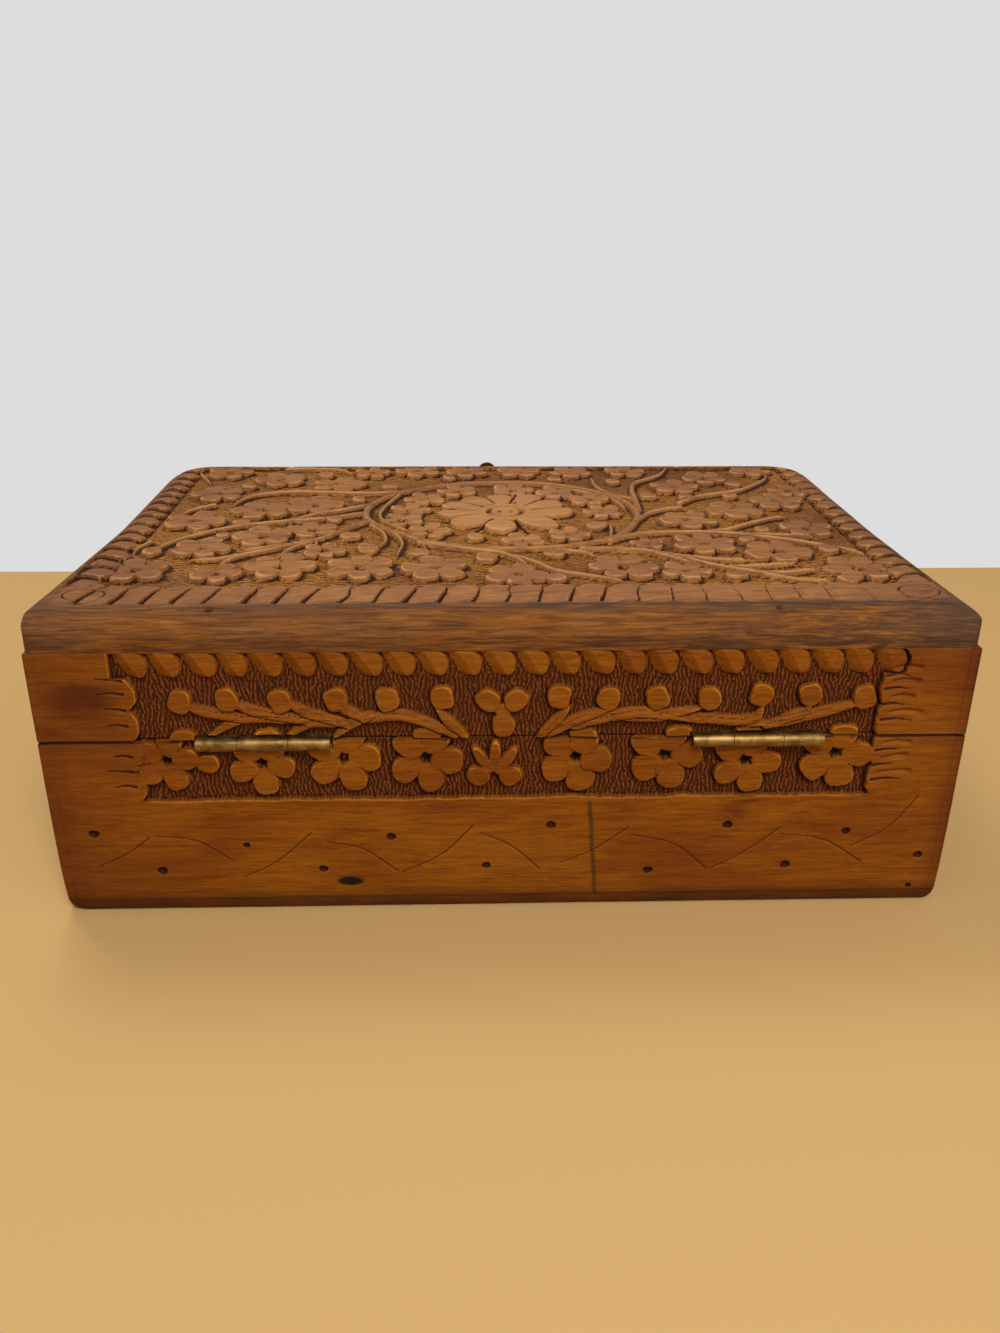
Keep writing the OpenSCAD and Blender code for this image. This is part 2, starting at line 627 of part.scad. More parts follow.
module base_right_wall() {
  color(oak_dark)
    difference() {
      side_wall(1, bottom_t, base_top, base_brad_z);
      face_cut(90, half_w)
        difference() {
          band(half_d, band_low, base_top + 1);
          base_motifs(half_d);
        }
      at_bottom_brads() brad_hole(1);
    }
}

module base_corner_brads() {
  color(steel) at_corner_brads(base_brad_z) brad();
}

module bottom_board_brads() {
  color(steel) at_bottom_brads() brad();
}

module left_hinge_base_leaf() {
  color(brass) base_leaf(hinge_left_x);
}

module right_hinge_base_leaf() {
  color(brass) base_leaf(hinge_right_x);
}

module left_hinge_pin() {
  color(steel) hinge_pin(hinge_left_x);
}

module right_hinge_pin() {
  color(steel) hinge_pin(hinge_right_x);
}

module left_hinge_base_screws() {
  color(brass) at_base_screws(hinge_left_x) screw();
}

module right_hinge_base_screws() {
  color(brass) at_base_screws(hinge_right_x) screw();
}

module hasp_staple() {
  bend = staple_span / 2;
  straight = staple_reach - bend - staple_d / 2;
  color(brass)
    translate([hasp_x, -half_d, staple_z]) {
      for (s = [-1, 1])
        translate([0, 8, s * bend]) rotate([90, 0, 0]) cylinder(d = staple_d, h = 8 + straight);
      translate([0, -straight, 0])
        rotate([0, 90, 0]) rotate([0, 0, 180])
          rotate_extrude(angle = 180) translate([bend, 0]) circle(d = staple_d);
    }
}

// Lid

// Block of the lid board with rounded upright corners
module board_block() {
  in_w = half_w - board_set;
  in_d = half_d - board_set;
  translate([0, 0, wall_top])
    linear_extrude(board_t) {
      square([2 * in_w, 2 * (in_d - board_corner_r)], center = true);
      square([2 * (in_w - board_corner_r), 2 * in_d], center = true);
      for (sx = [-1, 1], sy = [-1, 1])
        translate([sx * (in_w - board_corner_r), sy * (in_d - board_corner_r)]) circle(r = board_corner_r);
    }
}

module lid_board() {
  tilt = atan((bevel_drop - bevel_back_drop) / half_d);
  color(oak)
    difference() {
      board_block();
      for (turn = [0, 180])
        rotate([0, 0, turn]) translate([0, half_d - board_set, box_h]) bevel_cut(bevel_run, 2 * box_w);
      for (s = [-1, 1]) {
        translate([s * (half_w - board_set), -half_d, box_h])
          rotate([0, 0, s * -90]) bevel_cut(bevel_side, box_d + 0.8);
        translate([s * (half_w - board_set), 0, box_h]) rotate([tilt, 0, 0])
          translate([0, half_d, 0]) rotate([0, 0, s * -90]) bevel_cut(bevel_side, box_d);
      }
      translate([0, 0, box_h - ground])
        linear_extrude(ground + 1)
          difference() {
            translate([-half_w + side_border, -half_d + front_border])
              square([2 * (half_w - side_border), box_d - front_border - back_border]);
            top_motifs();
          }
      translate([rosette_at[0], rosette_at[1], box_h - 0.8])
        linear_extrude(2)
          for (r = [9.4, 5.4])
            difference() {
              circle(r = r);
              circle(r = r - 0.9);
            }
      at_board_brads() brad_hole(brad_set + ground + 1);
    }
}

module lid_back_wall() {
  color(oak)
    difference() {
      end_wall(1, lid_low, wall_top, lid_brad_z);
      face_cut(180, half_d)
        difference() {
          band(half_w, lid_low - 1, wall_top + 1);
          rope(half_w);
          difference() {
            lid_motifs(half_w);
            hinge_strip();
          }
        }
      for (cx = [hinge_left_x, hinge_right_x]) {
        hinge_room(cx);
        at_lid_screws(cx) screw_hole();
      }
      at_board_brads() brad_hole(board_t);
    }
}

module lid_front_wall() {
  color(oak)
    difference() {
      end_wall(-1, lid_low, wall_top, lid_brad_z);
      face_cut(0, half_d)
        difference() {
          band(half_w, lid_low - 1, wall_top + 1);
          rope(half_w);
          lid_motifs(half_w);
          translate([hasp_x - pad_half, 0]) square([2 * pad_half, box_h + 1]);
        }
      at_board_brads() brad_hole(board_t);
      at_hasp_nails() hasp_nail_hole();
    }
}

module lid_left_wall() {
  color(oak_dark)
    difference() {
      side_wall(-1, lid_low, wall_top, lid_brad_z);
      face_cut(-90, half_w)
        difference() {
          band(half_d, lid_low - 1, wall_top + 1);
          rope(half_d);
          lid_motifs(half_d);
        }
      at_board_brads() brad_hole(board_t);
    }
}

module lid_right_wall() {
  color(oak_dark)
    difference() {
      side_wall(1, lid_low, wall_top, lid_brad_z);
      face_cut(90, half_w)
        difference() {
          band(half_d, lid_low - 1, wall_top + 1);
          rope(half_d);
          lid_motifs(half_d);
        }
      at_board_brads() brad_hole(board_t);
    }
}

module lid_corner_brads() {
  color(steel) at_corner_brads(lid_brad_z) brad();
}

module lid_board_brads() {
  color(steel) at_board_brads() brad();
}

module left_hinge_lid_leaf() {
  color(brass) lid_leaf(hinge_left_x);
}

module right_hinge_lid_leaf() {
  color(brass) lid_leaf(hinge_right_x);
}

module left_hinge_lid_screws() {
  color(brass) at_lid_screws(hinge_left_x) screw();
}

module right_hinge_lid_screws() {
  color(brass) at_lid_screws(hinge_right_x) screw();
}

// Hasp

// Puts a child, pointing into the front wall, at each nail of the hasp plate
module at_hasp_nails() {
  for (s = [-1, 1], z = [hasp_z + 5.5, hasp_z + hasp_h - 2.4])
    translate([hasp_x + s * (hasp_w / 2 - 2.4), -half_d - hasp_plate_t, z]) rotate([90, 0, 0]) children();
}

module hasp_nail() {
  translate([0, 0, -0.5]) cylinder(d1 = 1.2, d2 = 2.2, h = 0.5);
  translate([0, 0, -8]) cylinder(d = 1.2, h = 8);
}

module hasp_nail_hole() {
  translate([0, 0, -0.5]) cylinder(d1 = 1.2 + 2 * fit_clear, d2 = 2.2 + 2 * fit_clear, h = 0.5);
  cylinder(d = 2.2 + 2 * fit_clear, h = 1);
  translate([0, 0, -8.3]) cylinder(d = 1.2 + 2 * fit_clear, h = 8.3);
}

module hasp_plate() {
  color(brass)
    difference() {
      union() {
        translate([hasp_x - hasp_w / 2, -half_d - hasp_plate_t, hasp_z])
          cube([hasp_w, hasp_plate_t, hasp_h]);
        translate([hasp_x, hasp_y, hasp_z]) rod_x(hasp_r, hasp_w);
      }
      translate([hasp_x - tongue_w / 2 - knuckle_gap, -half_d - 6, hasp_z - 3])
        cube([tongue_w + 2 * knuckle_gap, 7, 3 + hasp_r + 0.3]);
      translate([hasp_x, hasp_y, hasp_z]) rod_x(hasp_pin_d / 2 + pin_clear, hasp_w + 2);
      at_hasp_nails() hasp_nail_hole();
    }
}

module hasp_pin() {
  color(steel) translate([hasp_x, hasp_y, hasp_z]) rod_x(hasp_pin_d / 2, hasp_w - 0.2);
}

module hasp_plate_nails() {
  color(steel) at_hasp_nails() hasp_nail();
}

// Tongue folded up against the lid, with its slot standing clear above the plate
module hasp_tongue() {
  color(brass)
    translate([hasp_x, hasp_y, hasp_z])
      rotate([-tongue_lean, 0, 0])
      difference() {
        union() {
          rod_x(hasp_r, tongue_w);
          translate([0, tongue_t / 2, 0])
            rotate([90, 0, 0])
              linear_extrude(tongue_t) {
                translate([-tongue_w / 2, 0]) square([tongue_w, tongue_len - tongue_w / 2]);
                translate([0, tongue_len - tongue_w / 2]) circle(d = tongue_w);
              }
        }
        translate([0, 1, 0])
          rotate([90, 0, 0])
            linear_extrude(2) {
              translate([0, slot_mid]) square([slot_w, slot_h - slot_w], center = true);
              for (s = [-1, 1]) translate([0, slot_mid + s * (slot_h - slot_w) / 2]) circle(d = slot_w);
            }
        rod_x(hasp_pin_d / 2 + pin_clear, tongue_w + 2);
      }
}

bottom_board();
base_back_wall();
base_front_wall();
base_left_wall();
base_right_wall();
base_corner_brads();
bottom_board_brads();
left_hinge_base_leaf();
right_hinge_base_leaf();
left_hinge_pin();
right_hinge_pin();
left_hinge_base_screws();
right_hinge_base_screws();
hasp_staple();
lid_board();
lid_back_wall();
lid_front_wall();
lid_left_wall();
lid_right_wall();
lid_corner_brads();
lid_board_brads();
left_hinge_lid_leaf();
right_hinge_lid_leaf();
left_hinge_lid_screws();
right_hinge_lid_screws();
hasp_plate();
hasp_pin();
hasp_plate_nails();
hasp_tongue();
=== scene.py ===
import math

import bpy
import numpy as np
from mathutils import Matrix, Vector


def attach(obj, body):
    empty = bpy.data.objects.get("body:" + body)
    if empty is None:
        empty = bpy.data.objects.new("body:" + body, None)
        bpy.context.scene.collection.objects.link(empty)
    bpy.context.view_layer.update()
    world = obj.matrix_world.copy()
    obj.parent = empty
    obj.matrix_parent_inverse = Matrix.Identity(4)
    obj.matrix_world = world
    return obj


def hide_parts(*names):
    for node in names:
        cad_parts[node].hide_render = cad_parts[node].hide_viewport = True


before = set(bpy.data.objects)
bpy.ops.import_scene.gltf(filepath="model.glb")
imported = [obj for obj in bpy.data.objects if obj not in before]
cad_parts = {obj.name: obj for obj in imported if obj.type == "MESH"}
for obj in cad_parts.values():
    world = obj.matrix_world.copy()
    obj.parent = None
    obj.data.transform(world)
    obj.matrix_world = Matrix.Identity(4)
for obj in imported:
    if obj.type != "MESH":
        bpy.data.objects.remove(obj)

bpy.ops.object.select_all(action="DESELECT")
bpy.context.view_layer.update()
mm = 0.001


# camera, floor and light

shot = {
    "eye": (0.01195, 0.35405, 0.19554),   # metres, in front of the box's hinge side
    "turn": 2.06,                         # degrees to the left of straight on
    "down": 23.89,
    "roll": -0.43,
    "focal": 29.9,
    "sensor": 36,
}


def setCamera():
    turn, down = math.radians(shot["turn"]), math.radians(shot["down"])
    level = math.cos(down)
    ahead = Vector((-math.sin(turn) * level, -math.cos(turn) * level, -math.sin(down)))
    side = ahead.cross(Vector((0, 0, 1))).normalized()
    side = (Matrix.Rotation(math.radians(shot["roll"]), 3, ahead) @ side).normalized()
    above = side.cross(ahead)
    bpy.ops.object.camera_add()
    camera = bpy.context.object
    stance = Matrix((side, above, -ahead)).transposed().to_4x4()
    camera.matrix_world = Matrix.Translation(shot["eye"]) @ stance
    camera.data.lens = shot["focal"]
    camera.data.sensor_width = shot["sensor"]
    camera.data.clip_start = 0.01
    bpy.context.scene.camera = camera


# shader helpers

class Flow:   # one output of a node, so that masks are written as sums and products
    def __init__(self, tree, socket):
        self.tree = tree
        self.socket = socket

    def join(self, operation, first, second=None, clamp=False):
        node = self.tree.nodes.new("ShaderNodeMath")
        node.operation = operation
        node.use_clamp = clamp
        for place, value in zip(node.inputs, (first, second)):
            if isinstance(value, Flow):
                self.tree.links.new(value.socket, place)
            elif value is not None:
                place.default_value = value
        return Flow(self.tree, node.outputs[0])

    def __add__(self, other):
        return self.join("ADD", self, other)

    def __radd__(self, other):
        return self.join("ADD", other, self)

    def __sub__(self, other):
        return self.join("SUBTRACT", self, other)

    def __rsub__(self, other):
        return self.join("SUBTRACT", other, self)

    def __mul__(self, other):
        return self.join("MULTIPLY", self, other)

    def __rmul__(self, other):
        return self.join("MULTIPLY", other, self)

    def __truediv__(self, other):
        return self.join("DIVIDE", self, other)

    def __pow__(self, other):
        return self.join("POWER", self, other)

    def __abs__(self):
        return self.join("ABSOLUTE", self)

    def sine(self):
        return self.join("SINE", self)

    def cosine(self):
        return self.join("COSINE", self)

    def clamped(self):
        return self.join("ADD", self, 0.0, clamp=True)

    def between(self, low, high):   # 0 below low, 1 above high, smooth in the middle
        node = self.tree.nodes.new("ShaderNodeMapRange")
        node.interpolation_type = "SMOOTHSTEP"
        self.tree.links.new(self.socket, node.inputs["Value"])
        node.inputs["From Min"].default_value = low
        node.inputs["From Max"].default_value = high
        return Flow(self.tree, node.outputs[0])


class Finish:   # a material that is built up node by node
    def __init__(self, name, tones):
        self.tones = tones
        self.material = bpy.data.materials.new(name)
        self.material.use_nodes = True
        self.tree = self.material.node_tree
        self.shader = self.tree.nodes["Principled BSDF"]

    def node(self, kind, settings=None, output=0, **places):
        made = self.tree.nodes.new("ShaderNode" + kind)
        for key, value in (settings or {}).items():
            if key == "stops":
                self.setStops(made.color_ramp, value)
            else:
                setattr(made, key, value)
        for key, value in places.items():
            numbered = key[0] == "i" and key[1:].isdigit()   # i0 is the first socket, and so on
            place = made.inputs[int(key[1:]) if numbered else key]
            if isinstance(value, Flow):
                self.tree.links.new(value.socket, place)
            else:
                place.default_value = value
        return Flow(self.tree, made.outputs[output])

    def setStops(self, ramp, stops):
        while len(ramp.elements) < len(stops):
            ramp.elements.new(0.5)
        for element, (place, colour) in zip(ramp.elements, stops):
            element.position = place
            element.color = colour

    def place(self, scale=(1, 1, 1), turn=(0, 0, 0), shift=(0, 0, 0)):
        point = self.node("TexCoord", output=3)
        return self.node("Mapping", Vector=point, Scale=scale, Rotation=turn, Location=shift)

    def noise(self, at, scale, detail=3.0, rough=0.5, warp=0.0):
        return self.node("TexNoise", Vector=at, Scale=scale, Detail=detail,
                         Roughness=rough, Distortion=warp)

    def mix(self, share, first, second):   # colours, or the names of the finish's own tones
        first, second = (tone(*self.tones[c]) if isinstance(c, str) else c for c in (first, second))
        return self.node("Mix", {"data_type": "RGBA"}, 2, i0=share, i6=first, i7=second)

    def ramp(self, at, *stops):
        stops = [(place, tone(*self.tones[name])) for place, name in stops]
        return self.node("ValToRGB", {"stops": stops}, i0=at)

    def split(self, point):
        return (self.node("SeparateXYZ", output=k, i0=point) for k in (0, 1, 2))

    def read(self, attribute):
        return self.node("Attribute", {"attribute_name": attribute}, 2)

    def set(self, **places):
        for key, value in places.items():
            place = self.shader.inputs[key.replace("_", " ")]
            if isinstance(value, Flow):
                self.tree.links.new(value.socket, place)
            else:
                place.default_value = value

    def bump(self, height, distance, strength=1.0, under=None):
        places = {"Height": height, "Distance": distance, "Strength": strength}
        if under is not None:
            places["Normal"] = under
        return self.node("Bump", **places)


def tone(*levels):   # red, green and blue as a paint program shows them, to what the shader wants
    return tuple(((c / 255 + 0.055) / 1.055) ** 2.4 if c > 10 else c / 255 / 12.92 for c in levels) + (1.0,)


# the carver's tools: a face of wood seen square on, in millimetres

def ease(x):
    x = np.clip(x, 0, 1)
    return x * x * (3 - 2 * x)


def smoothPath(points, step=1.0, closed=False):
    p = np.array(points, float)
    if closed:
        p = np.vstack([p[-1], p, p[:2]])
    else:
        p = np.vstack([2 * p[0] - p[1], p, 2 * p[-1] - p[-2]])
    path = []
    for a, b, c, d in zip(p, p[1:], p[2:], p[3:]):
        square, cube = 2 * a - 5 * b + 4 * c - d, 3 * b - a - 3 * c + d
        count = max(2, int(np.hypot(*(c - b)) / step))
        for t in np.linspace(0, 1, count, endpoint=False):
            path.append(0.5 * (2 * b + (c - a) * t + square * t * t + cube * t ** 3))
    path.append(p[-2])
    return np.array(path)


def spoke(u, v, turn, reaches):   # points straight out from a middle, as for the crease between petals
    return [(u + t * math.cos(turn), v + t * math.sin(turn)) for t in reaches]


class Carving:
    def __init__(self, left, right, low, high, step, ground, seed, slope=0.46):
        self.uLine = np.linspace(left, right, round((right - left) / step) + 1)
        self.vLine = np.linspace(low, high, round((high - low) / step) + 1)
        self.u, self.v = np.meshgrid(self.uLine, self.vLine)
        self.ground = ground
        self.slope = slope                             # width of the steep side of each motif
        self.draw = np.random.RandomState(seed)
        self.raised = np.full(self.u.shape, -ground)   # motifs left standing
        self.cuts = np.zeros(self.u.shape)             # grooves and holes
        self.dark = np.zeros(self.u.shape)             # how much darker the cuts are painted
        self.inside = np.full(self.u.shape, -9.0)      # distance into the carved field
        self.depth = np.zeros(self.u.shape)

    def near(self, u0, u1, v0, v1):
        a, b = np.searchsorted(self.uLine, (u0, u1))
        c, d = np.searchsorted(self.vLine, (v0, v1))
        return slice(max(c - 1, 0), d + 1), slice(max(a - 1, 0), b + 1)

    def around(self, u, v, reach):   # the points near one point, and their distance from it
        w = self.near(u - reach, u + reach, v - reach, v + reach)
        return w, np.hypot(self.u[w] - u, self.v[w] - v)

    def along(self, path, widths):   # the points near each step of a path
        for a, b, w0, w1 in zip(path, path[1:], widths, widths[1:]):
            reach = max(w0, w1) + 0.8
            low, high = np.minimum(a, b) - reach, np.maximum(a, b) + reach
            w = self.near(low[0], high[0], low[1], high[1])
            du, dv = self.u[w] - a[0], self.v[w] - a[1]
            run = b - a
            t = np.clip((du * run[0] + dv * run[1]) / (run @ run + 1e-9), 0, 1)
            above = dv - t * run[1]
            yield w, np.hypot(du - t * run[0], above), above, w0 + (w1 - w0) * t

    def cloud(self, cell, cellV=None):   # smooth random field from -1 to 1
        cellV = cellV or cell
        fu = (self.uLine - self.uLine[0]) / cell
        fv = (self.vLine - self.vLine[0]) / cellV
        grid = self.draw.uniform(-1, 1, (int(fv[-1]) + 3, int(fu[-1]) + 3))
        iu, iv = fu.astype(int), fv.astype(int)
        tu, tv = ease(fu - iu), ease(fv - iv)[:, None]
        top = grid[iv][:, iu] * (1 - tu) + grid[iv][:, iu + 1] * tu
        low = grid[iv + 1][:, iu] * (1 - tu) + grid[iv + 1][:, iu + 1] * tu
        return top * (1 - tv) + low * tv

    def stand(self, window, height, side, foot=1.0):   # raised from the ground over its steep side
        base = self.ground * foot
        self.raised[window] = np.maximum(self.raised[window], -base + (base + height) * side)

    def cut(self, window, deep, dark=1.5):
        self.cuts[window] = np.maximum(self.cuts[window], deep)
        self.dark[window] = np.maximum(self.dark[window], deep * dark)

    def lobe(self, u, v, long, wide, turn=0.0, top=-0.05, crown=0.2, dip=0.0, square=2.3):
        w, _ = self.around(u, v, max(long, wide) + 1)
        du, dv = self.u[w] - u, self.v[w] - v
        x = du * math.cos(turn) + dv * math.sin(turn)
        y = dv * math.cos(turn) - du * math.sin(turn)
        q = (np.abs(x / long) ** square + np.abs(y / wide) ** square) ** (1 / square)
        a = np.arctan2(y, x)   # cut by hand, so the outline is never quite even
        q = q * (1 + 0.03 * np.sin(3 * a + 7 * u + v) + 0.02 * np.sin(5 * a + 3 * u))
        side = ease((1 - q) * min(long, wide) / self.slope)
        lean = self.draw.uniform(-0.08, 0.08) * x + self.draw.uniform(-0.09, 0.09) * y
        height = top - crown * np.clip(q, 0, 1) ** 8 + 0.12 * (q * q - 1)
        self.stand(w, height - dip * np.clip(-x / long, -1, 1) + lean, side)

    def flower(self, u, v, r, petals=5, turn=0.0, eye=0.75):
        share = 0.41 if petals == 5 else 0.35 if petals > 5 else 0.5
        for i in range(petals):
            a = turn + 2 * math.pi * i / petals + self.draw.uniform(-0.06, 0.06)
            far = r * (0.58 + self.draw.uniform(-0.03, 0.03))
            wide = r * share * self.draw.uniform(0.92, 1.06)
            self.lobe(u + far * math.cos(a), v + far * math.sin(a), r * 0.46, wide, a,
                      -0.05 - self.draw.uniform(0, 0.35), 0.18, dip=0.28)
            crease = spoke(u, v, a + math.pi / petals, [t * r for t in (0.46, 0.64, 0.82)])
            self.groove(crease, 0.3, 0.7, 0.5)
        if eye:
            self.hole(u, v, eye, 0.9)

    def hole(self, u, v, r, deep):
        w, _ = self.around(u, v, r + 1)
        du, dv = self.u[w] - u, self.v[w] - v
        d = np.hypot(du, dv * 1.15) * (1 + 0.06 * np.sin(3 * np.arctan2(dv, du) + u))
        self.cut(w, deep * ease((r - d) / (0.6 * r) + 0.4))

    def vine(self, points, wide0, wide1, closed=False):
        path = smoothPath(points, 1.0, closed)
        share = np.linspace(0, 1, len(path))
        widths = (wide0 + (wide1 - wide0) * share) / 2
        if not closed:
            widths = widths * (0.25 + 0.75 * ease((1 - share) * len(path) / 5))
        for w, d, _, half in self.along(path, widths):
            height = -0.05 - 0.8 * np.clip(d / half, 0, 1.2) ** 1.1
            self.stand(w, height, ease((half - d) / self.slope + 0.4))

    def leaf(self, points, wide):   # a vine that swells in the middle and is steep below its ridge
        path = smoothPath(points, 0.8)
        share = np.linspace(0, 1, len(path))
        widths = wide / 2 * (0.35 + 0.65 * np.sin(math.pi * np.clip(share * 0.9 + 0.12, 0, 1)) ** 0.8)
        for w, d, above, half in self.along(path, widths):
            over = above / half + 0.4   # the ridge runs near the lower edge
            height = -0.05 - 0.66 * np.clip(over, 0, 1.6) - 0.4 * np.clip(-over, 0, 1)
            self.stand(w, height, ease((half - d) / self.slope + 0.4))

    def groove(self, points, wide0, wide1, deep, closed=False, dark=1.5):
        path = smoothPath(points, 0.7, closed)
        share = np.linspace(0, 1, len(path))
        widths = (wide0 + (wide1 - wide0) * share) / 2
        for w, d, _, half in self.along(path, widths):
            scale = half / max(wide0, wide1) * 2
            self.cut(w, deep * (0.45 + 0.55 * scale) * np.clip(1 - d / half, 0, 1) ** 0.8, dark)

    def settle(self):   # ground with chisel marks, the standing motifs over it, then the grooves
        marks = 0.16 * self.cloud(3.0) + 0.06 * self.cloud(1.4) + 0.08
        field = ease(self.inside / 0.55 + 0.3)
        floor = (-self.ground + marks) * field
        worn = 0.05 * self.cloud(4.0) + 0.06 * self.cloud(9.0)
        tops = np.minimum(self.raised + worn * (self.raised > -self.ground + 0.4), 0)
        self.depth = np.maximum(floor, tops) - self.cuts
        self.carved = ease((0.7 - self.ground - self.raised) / 0.5) * field   # 1 on the bare tooled ground

    def shaded(self, size):   # how far each point lies under what surrounds it: painted shade and dirt go there, and a painted highlight where it is below zero; the sums lean half a step towards higher rows and columns, so the lower edges of wall motifs come out darker and the upper ones lighter, as light from above would make them
        d = self.depth
        for axis in (0, 1):
            pad = [(size, size) if k == axis else (0, 0) for k in (0, 1)]
            s = np.cumsum(np.pad(d, pad, mode="edge"), axis=axis)
            after = np.take(s, range(2 * size, s.shape[axis]), axis)
            d = (after - np.take(s, range(0, s.shape[axis] - 2 * size), axis)) / (2 * size)
        return d - self.depth


# a carved face becomes a closed block of wood

box = {   # millimetres, as in the frame
    "halfWide": 127,
    "halfDeep": 86,
    "tall": 91,
    "seam": 55.0,
    "boardLow": 81.0,
    "wall": 11.0,
    "lip": 3.0,                     # of a side wall over the ends of its neighbours
    "hinges": (-68.7, 66.3),        # along X
    "axisUp": 54.4,
    "hasp": 2,
}

facing = {   # how a face seen square on is stood up: rows give X, Y and Z from across, up and out
    "back": (((-1, 0, 0), (0, 0, 1), (0, 1, 0)), (0, box["halfDeep"], 0)),
    "front": (((1, 0, 0), (0, 0, -1), (0, 1, 0)), (0, -box["halfDeep"], 0)),
    "right": (((0, 0, 1), (1, 0, 0), (0, 1, 0)), (box["halfWide"], 0, 0)),
    "left": (((0, 0, -1), (-1, 0, 0), (0, 1, 0)), (-box["halfWide"], 0, 0)),
    "top": (((1, 0, 0), (0, 1, 0), (0, 0, 1)), (0, 0, box["tall"])),
    "bottom": (((1, 0, 0), (0, -1, 0), (0, 0, -1)), (0, 0, 0)),
}


def readPoints(mesh):
    points = np.empty(len(mesh.vertices) * 3)
    mesh.vertices.foreach_get("co", points)
    return points.reshape(-1, 3)


def writePoints(mesh, points):
    mesh.vertices.foreach_set("co", np.ascontiguousarray(points, float).ravel())
    mesh.update()


def makeBlock(name, carving, back, plan=None, core=None):
    # a grid is carved by moving its points, then its rim is drawn back and closed
    nu, nv = len(carving.uLine), len(carving.vLine)
    bpy.ops.mesh.primitive_grid_add(x_subdivisions=nu - 1, y_subdivisions=nv - 1, size=1)
    block = bpy.context.object
    block.name = block.data.name = name
    points = readPoints(block.data)
    column = np.rint((points[:, 0] + 0.5) * (nu - 1)).astype(int)
    row = np.rint((points[:, 1] + 0.5) * (nv - 1)).astype(int)
    points = np.c_[carving.uLine[column], carving.vLine[row], carving.depth[row, column]]
    if plan:
        roundPlan(points, plan["halfWide"], plan["halfDeep"], plan["corners"])
    writePoints(block.data, points)
    bpy.ops.object.mode_set(mode="EDIT")
    bpy.ops.mesh.select_mode(type="VERT")
    bpy.ops.mesh.select_all(action="DESELECT")
    bpy.ops.mesh.select_non_manifold()
    bpy.ops.mesh.extrude_region_move()
    bpy.ops.object.mode_set(mode="OBJECT")
    rim = np.empty(len(block.data.vertices), bool)
    block.data.vertices.foreach_get("select", rim)
    points = readPoints(block.data)
    points[rim, 2] = -back
    writePoints(block.data, points)
    bpy.ops.object.mode_set(mode="EDIT")
    bpy.ops.mesh.edge_face_add()
    if core:   # the middle of a side wall is thicker than its lips
        reach, thick = core
        for end in (-1, 1):
            bpy.ops.mesh.select_mode(type="FACE")
            bpy.ops.mesh.bisect(plane_co=(end * reach, 0, 0), plane_no=(1, 0, 0))
            bpy.ops.mesh.select_mode(type="FACE")
            bpy.ops.mesh.select_all(action="DESELECT")
            bpy.ops.object.mode_set(mode="OBJECT")
            for face in block.data.polygons:
                behind = face.center.z < -back + 0.01
                if behind or len(face.vertices) > 4:
                    face.select = abs(face.center.x) < reach + 1 and behind
            bpy.ops.object.mode_set(mode="EDIT")
        bpy.ops.mesh.extrude_region_move(TRANSFORM_OT_translate={"value": (0, 0, back - thick)})
    bpy.ops.object.mode_set(mode="OBJECT")
    return block


def thin(block, target):
    triangles = sum(len(face.vertices) - 2 for face in block.data.polygons)
    if triangles > target:
        fewer = block.modifiers.new("fewer", "DECIMATE")
        fewer.ratio = target / triangles
        bpy.context.view_layer.objects.active = block
        bpy.ops.object.modifier_apply(modifier="fewer")


def standUp(block, side):
    turn, shift = facing[side]
    block.data.transform(Matrix.Translation(Vector(shift) * mm) @ (Matrix(turn) * mm).to_4x4())


def paintCarving(block, carving, side):   # where the ground is, with the dirt and painted shade and the painted highlight on the ridges, for the finish
    turn, shift = facing[side]
    u, v, out = ((readPoints(block.data) / mm - np.array(shift)) @ np.array(turn)).T
    fu, fv = (np.clip((at - line[0]) / (line[1] - line[0]), 0, len(line) - 1.001)
              for at, line in ((u, carving.uLine), (v, carving.vLine)))
    iu, iv = fu.astype(int), fv.astype(int)
    tu, tv = fu - iu, fv - iv
    outer = out > -2.95   # not the back of the block
    for name, values in (("carved", carving.carved), ("dirt", carving.dirt)):
        low, high = (values[row, iu] * (1 - tu) + values[row, iu + 1] * tu for row in (iv, iv + 1))
        layer = block.data.attributes.new(name, "FLOAT", "POINT")
        layer.data.foreach_set("value", ((low * (1 - tv) + high * tv) * outer).astype(np.float32))


def closeUp(block):
    bpy.context.view_layer.objects.active = block
    block.select_set(True)
    bpy.ops.object.mode_set(mode="EDIT")
    bpy.ops.mesh.select_all(action="SELECT")
    bpy.ops.mesh.normals_make_consistent(inside=False)
    bpy.ops.object.mode_set(mode="OBJECT")
    bpy.ops.object.shade_smooth_by_angle(angle=math.radians(38))
    block.select_set(False)


def roundRims(carving, radii):   # the ends, the low edge and the high edge worn round
    u, v = carving.u, carving.v
    ends, low, high, foot = radii
    fall = foot * np.exp(-v / 8.0)
    foot = foot * np.exp(-np.clip(v - 4, 0, None) / 3.5)
    spans = carving.uLine[-1] - np.abs(u), v - carving.vLine[0], carving.vLine[-1] - v
    for span, r in zip(spans, (ends + foot, low, high)):
        r = r * (1 + 0.25 * carving.cloud(17.0))
        x = np.clip(1 - span / r, 0, 1)
        fall = np.maximum(fall, r * (1 - np.sqrt(1 - x * x)) * 0.8)
    return fall


# walls

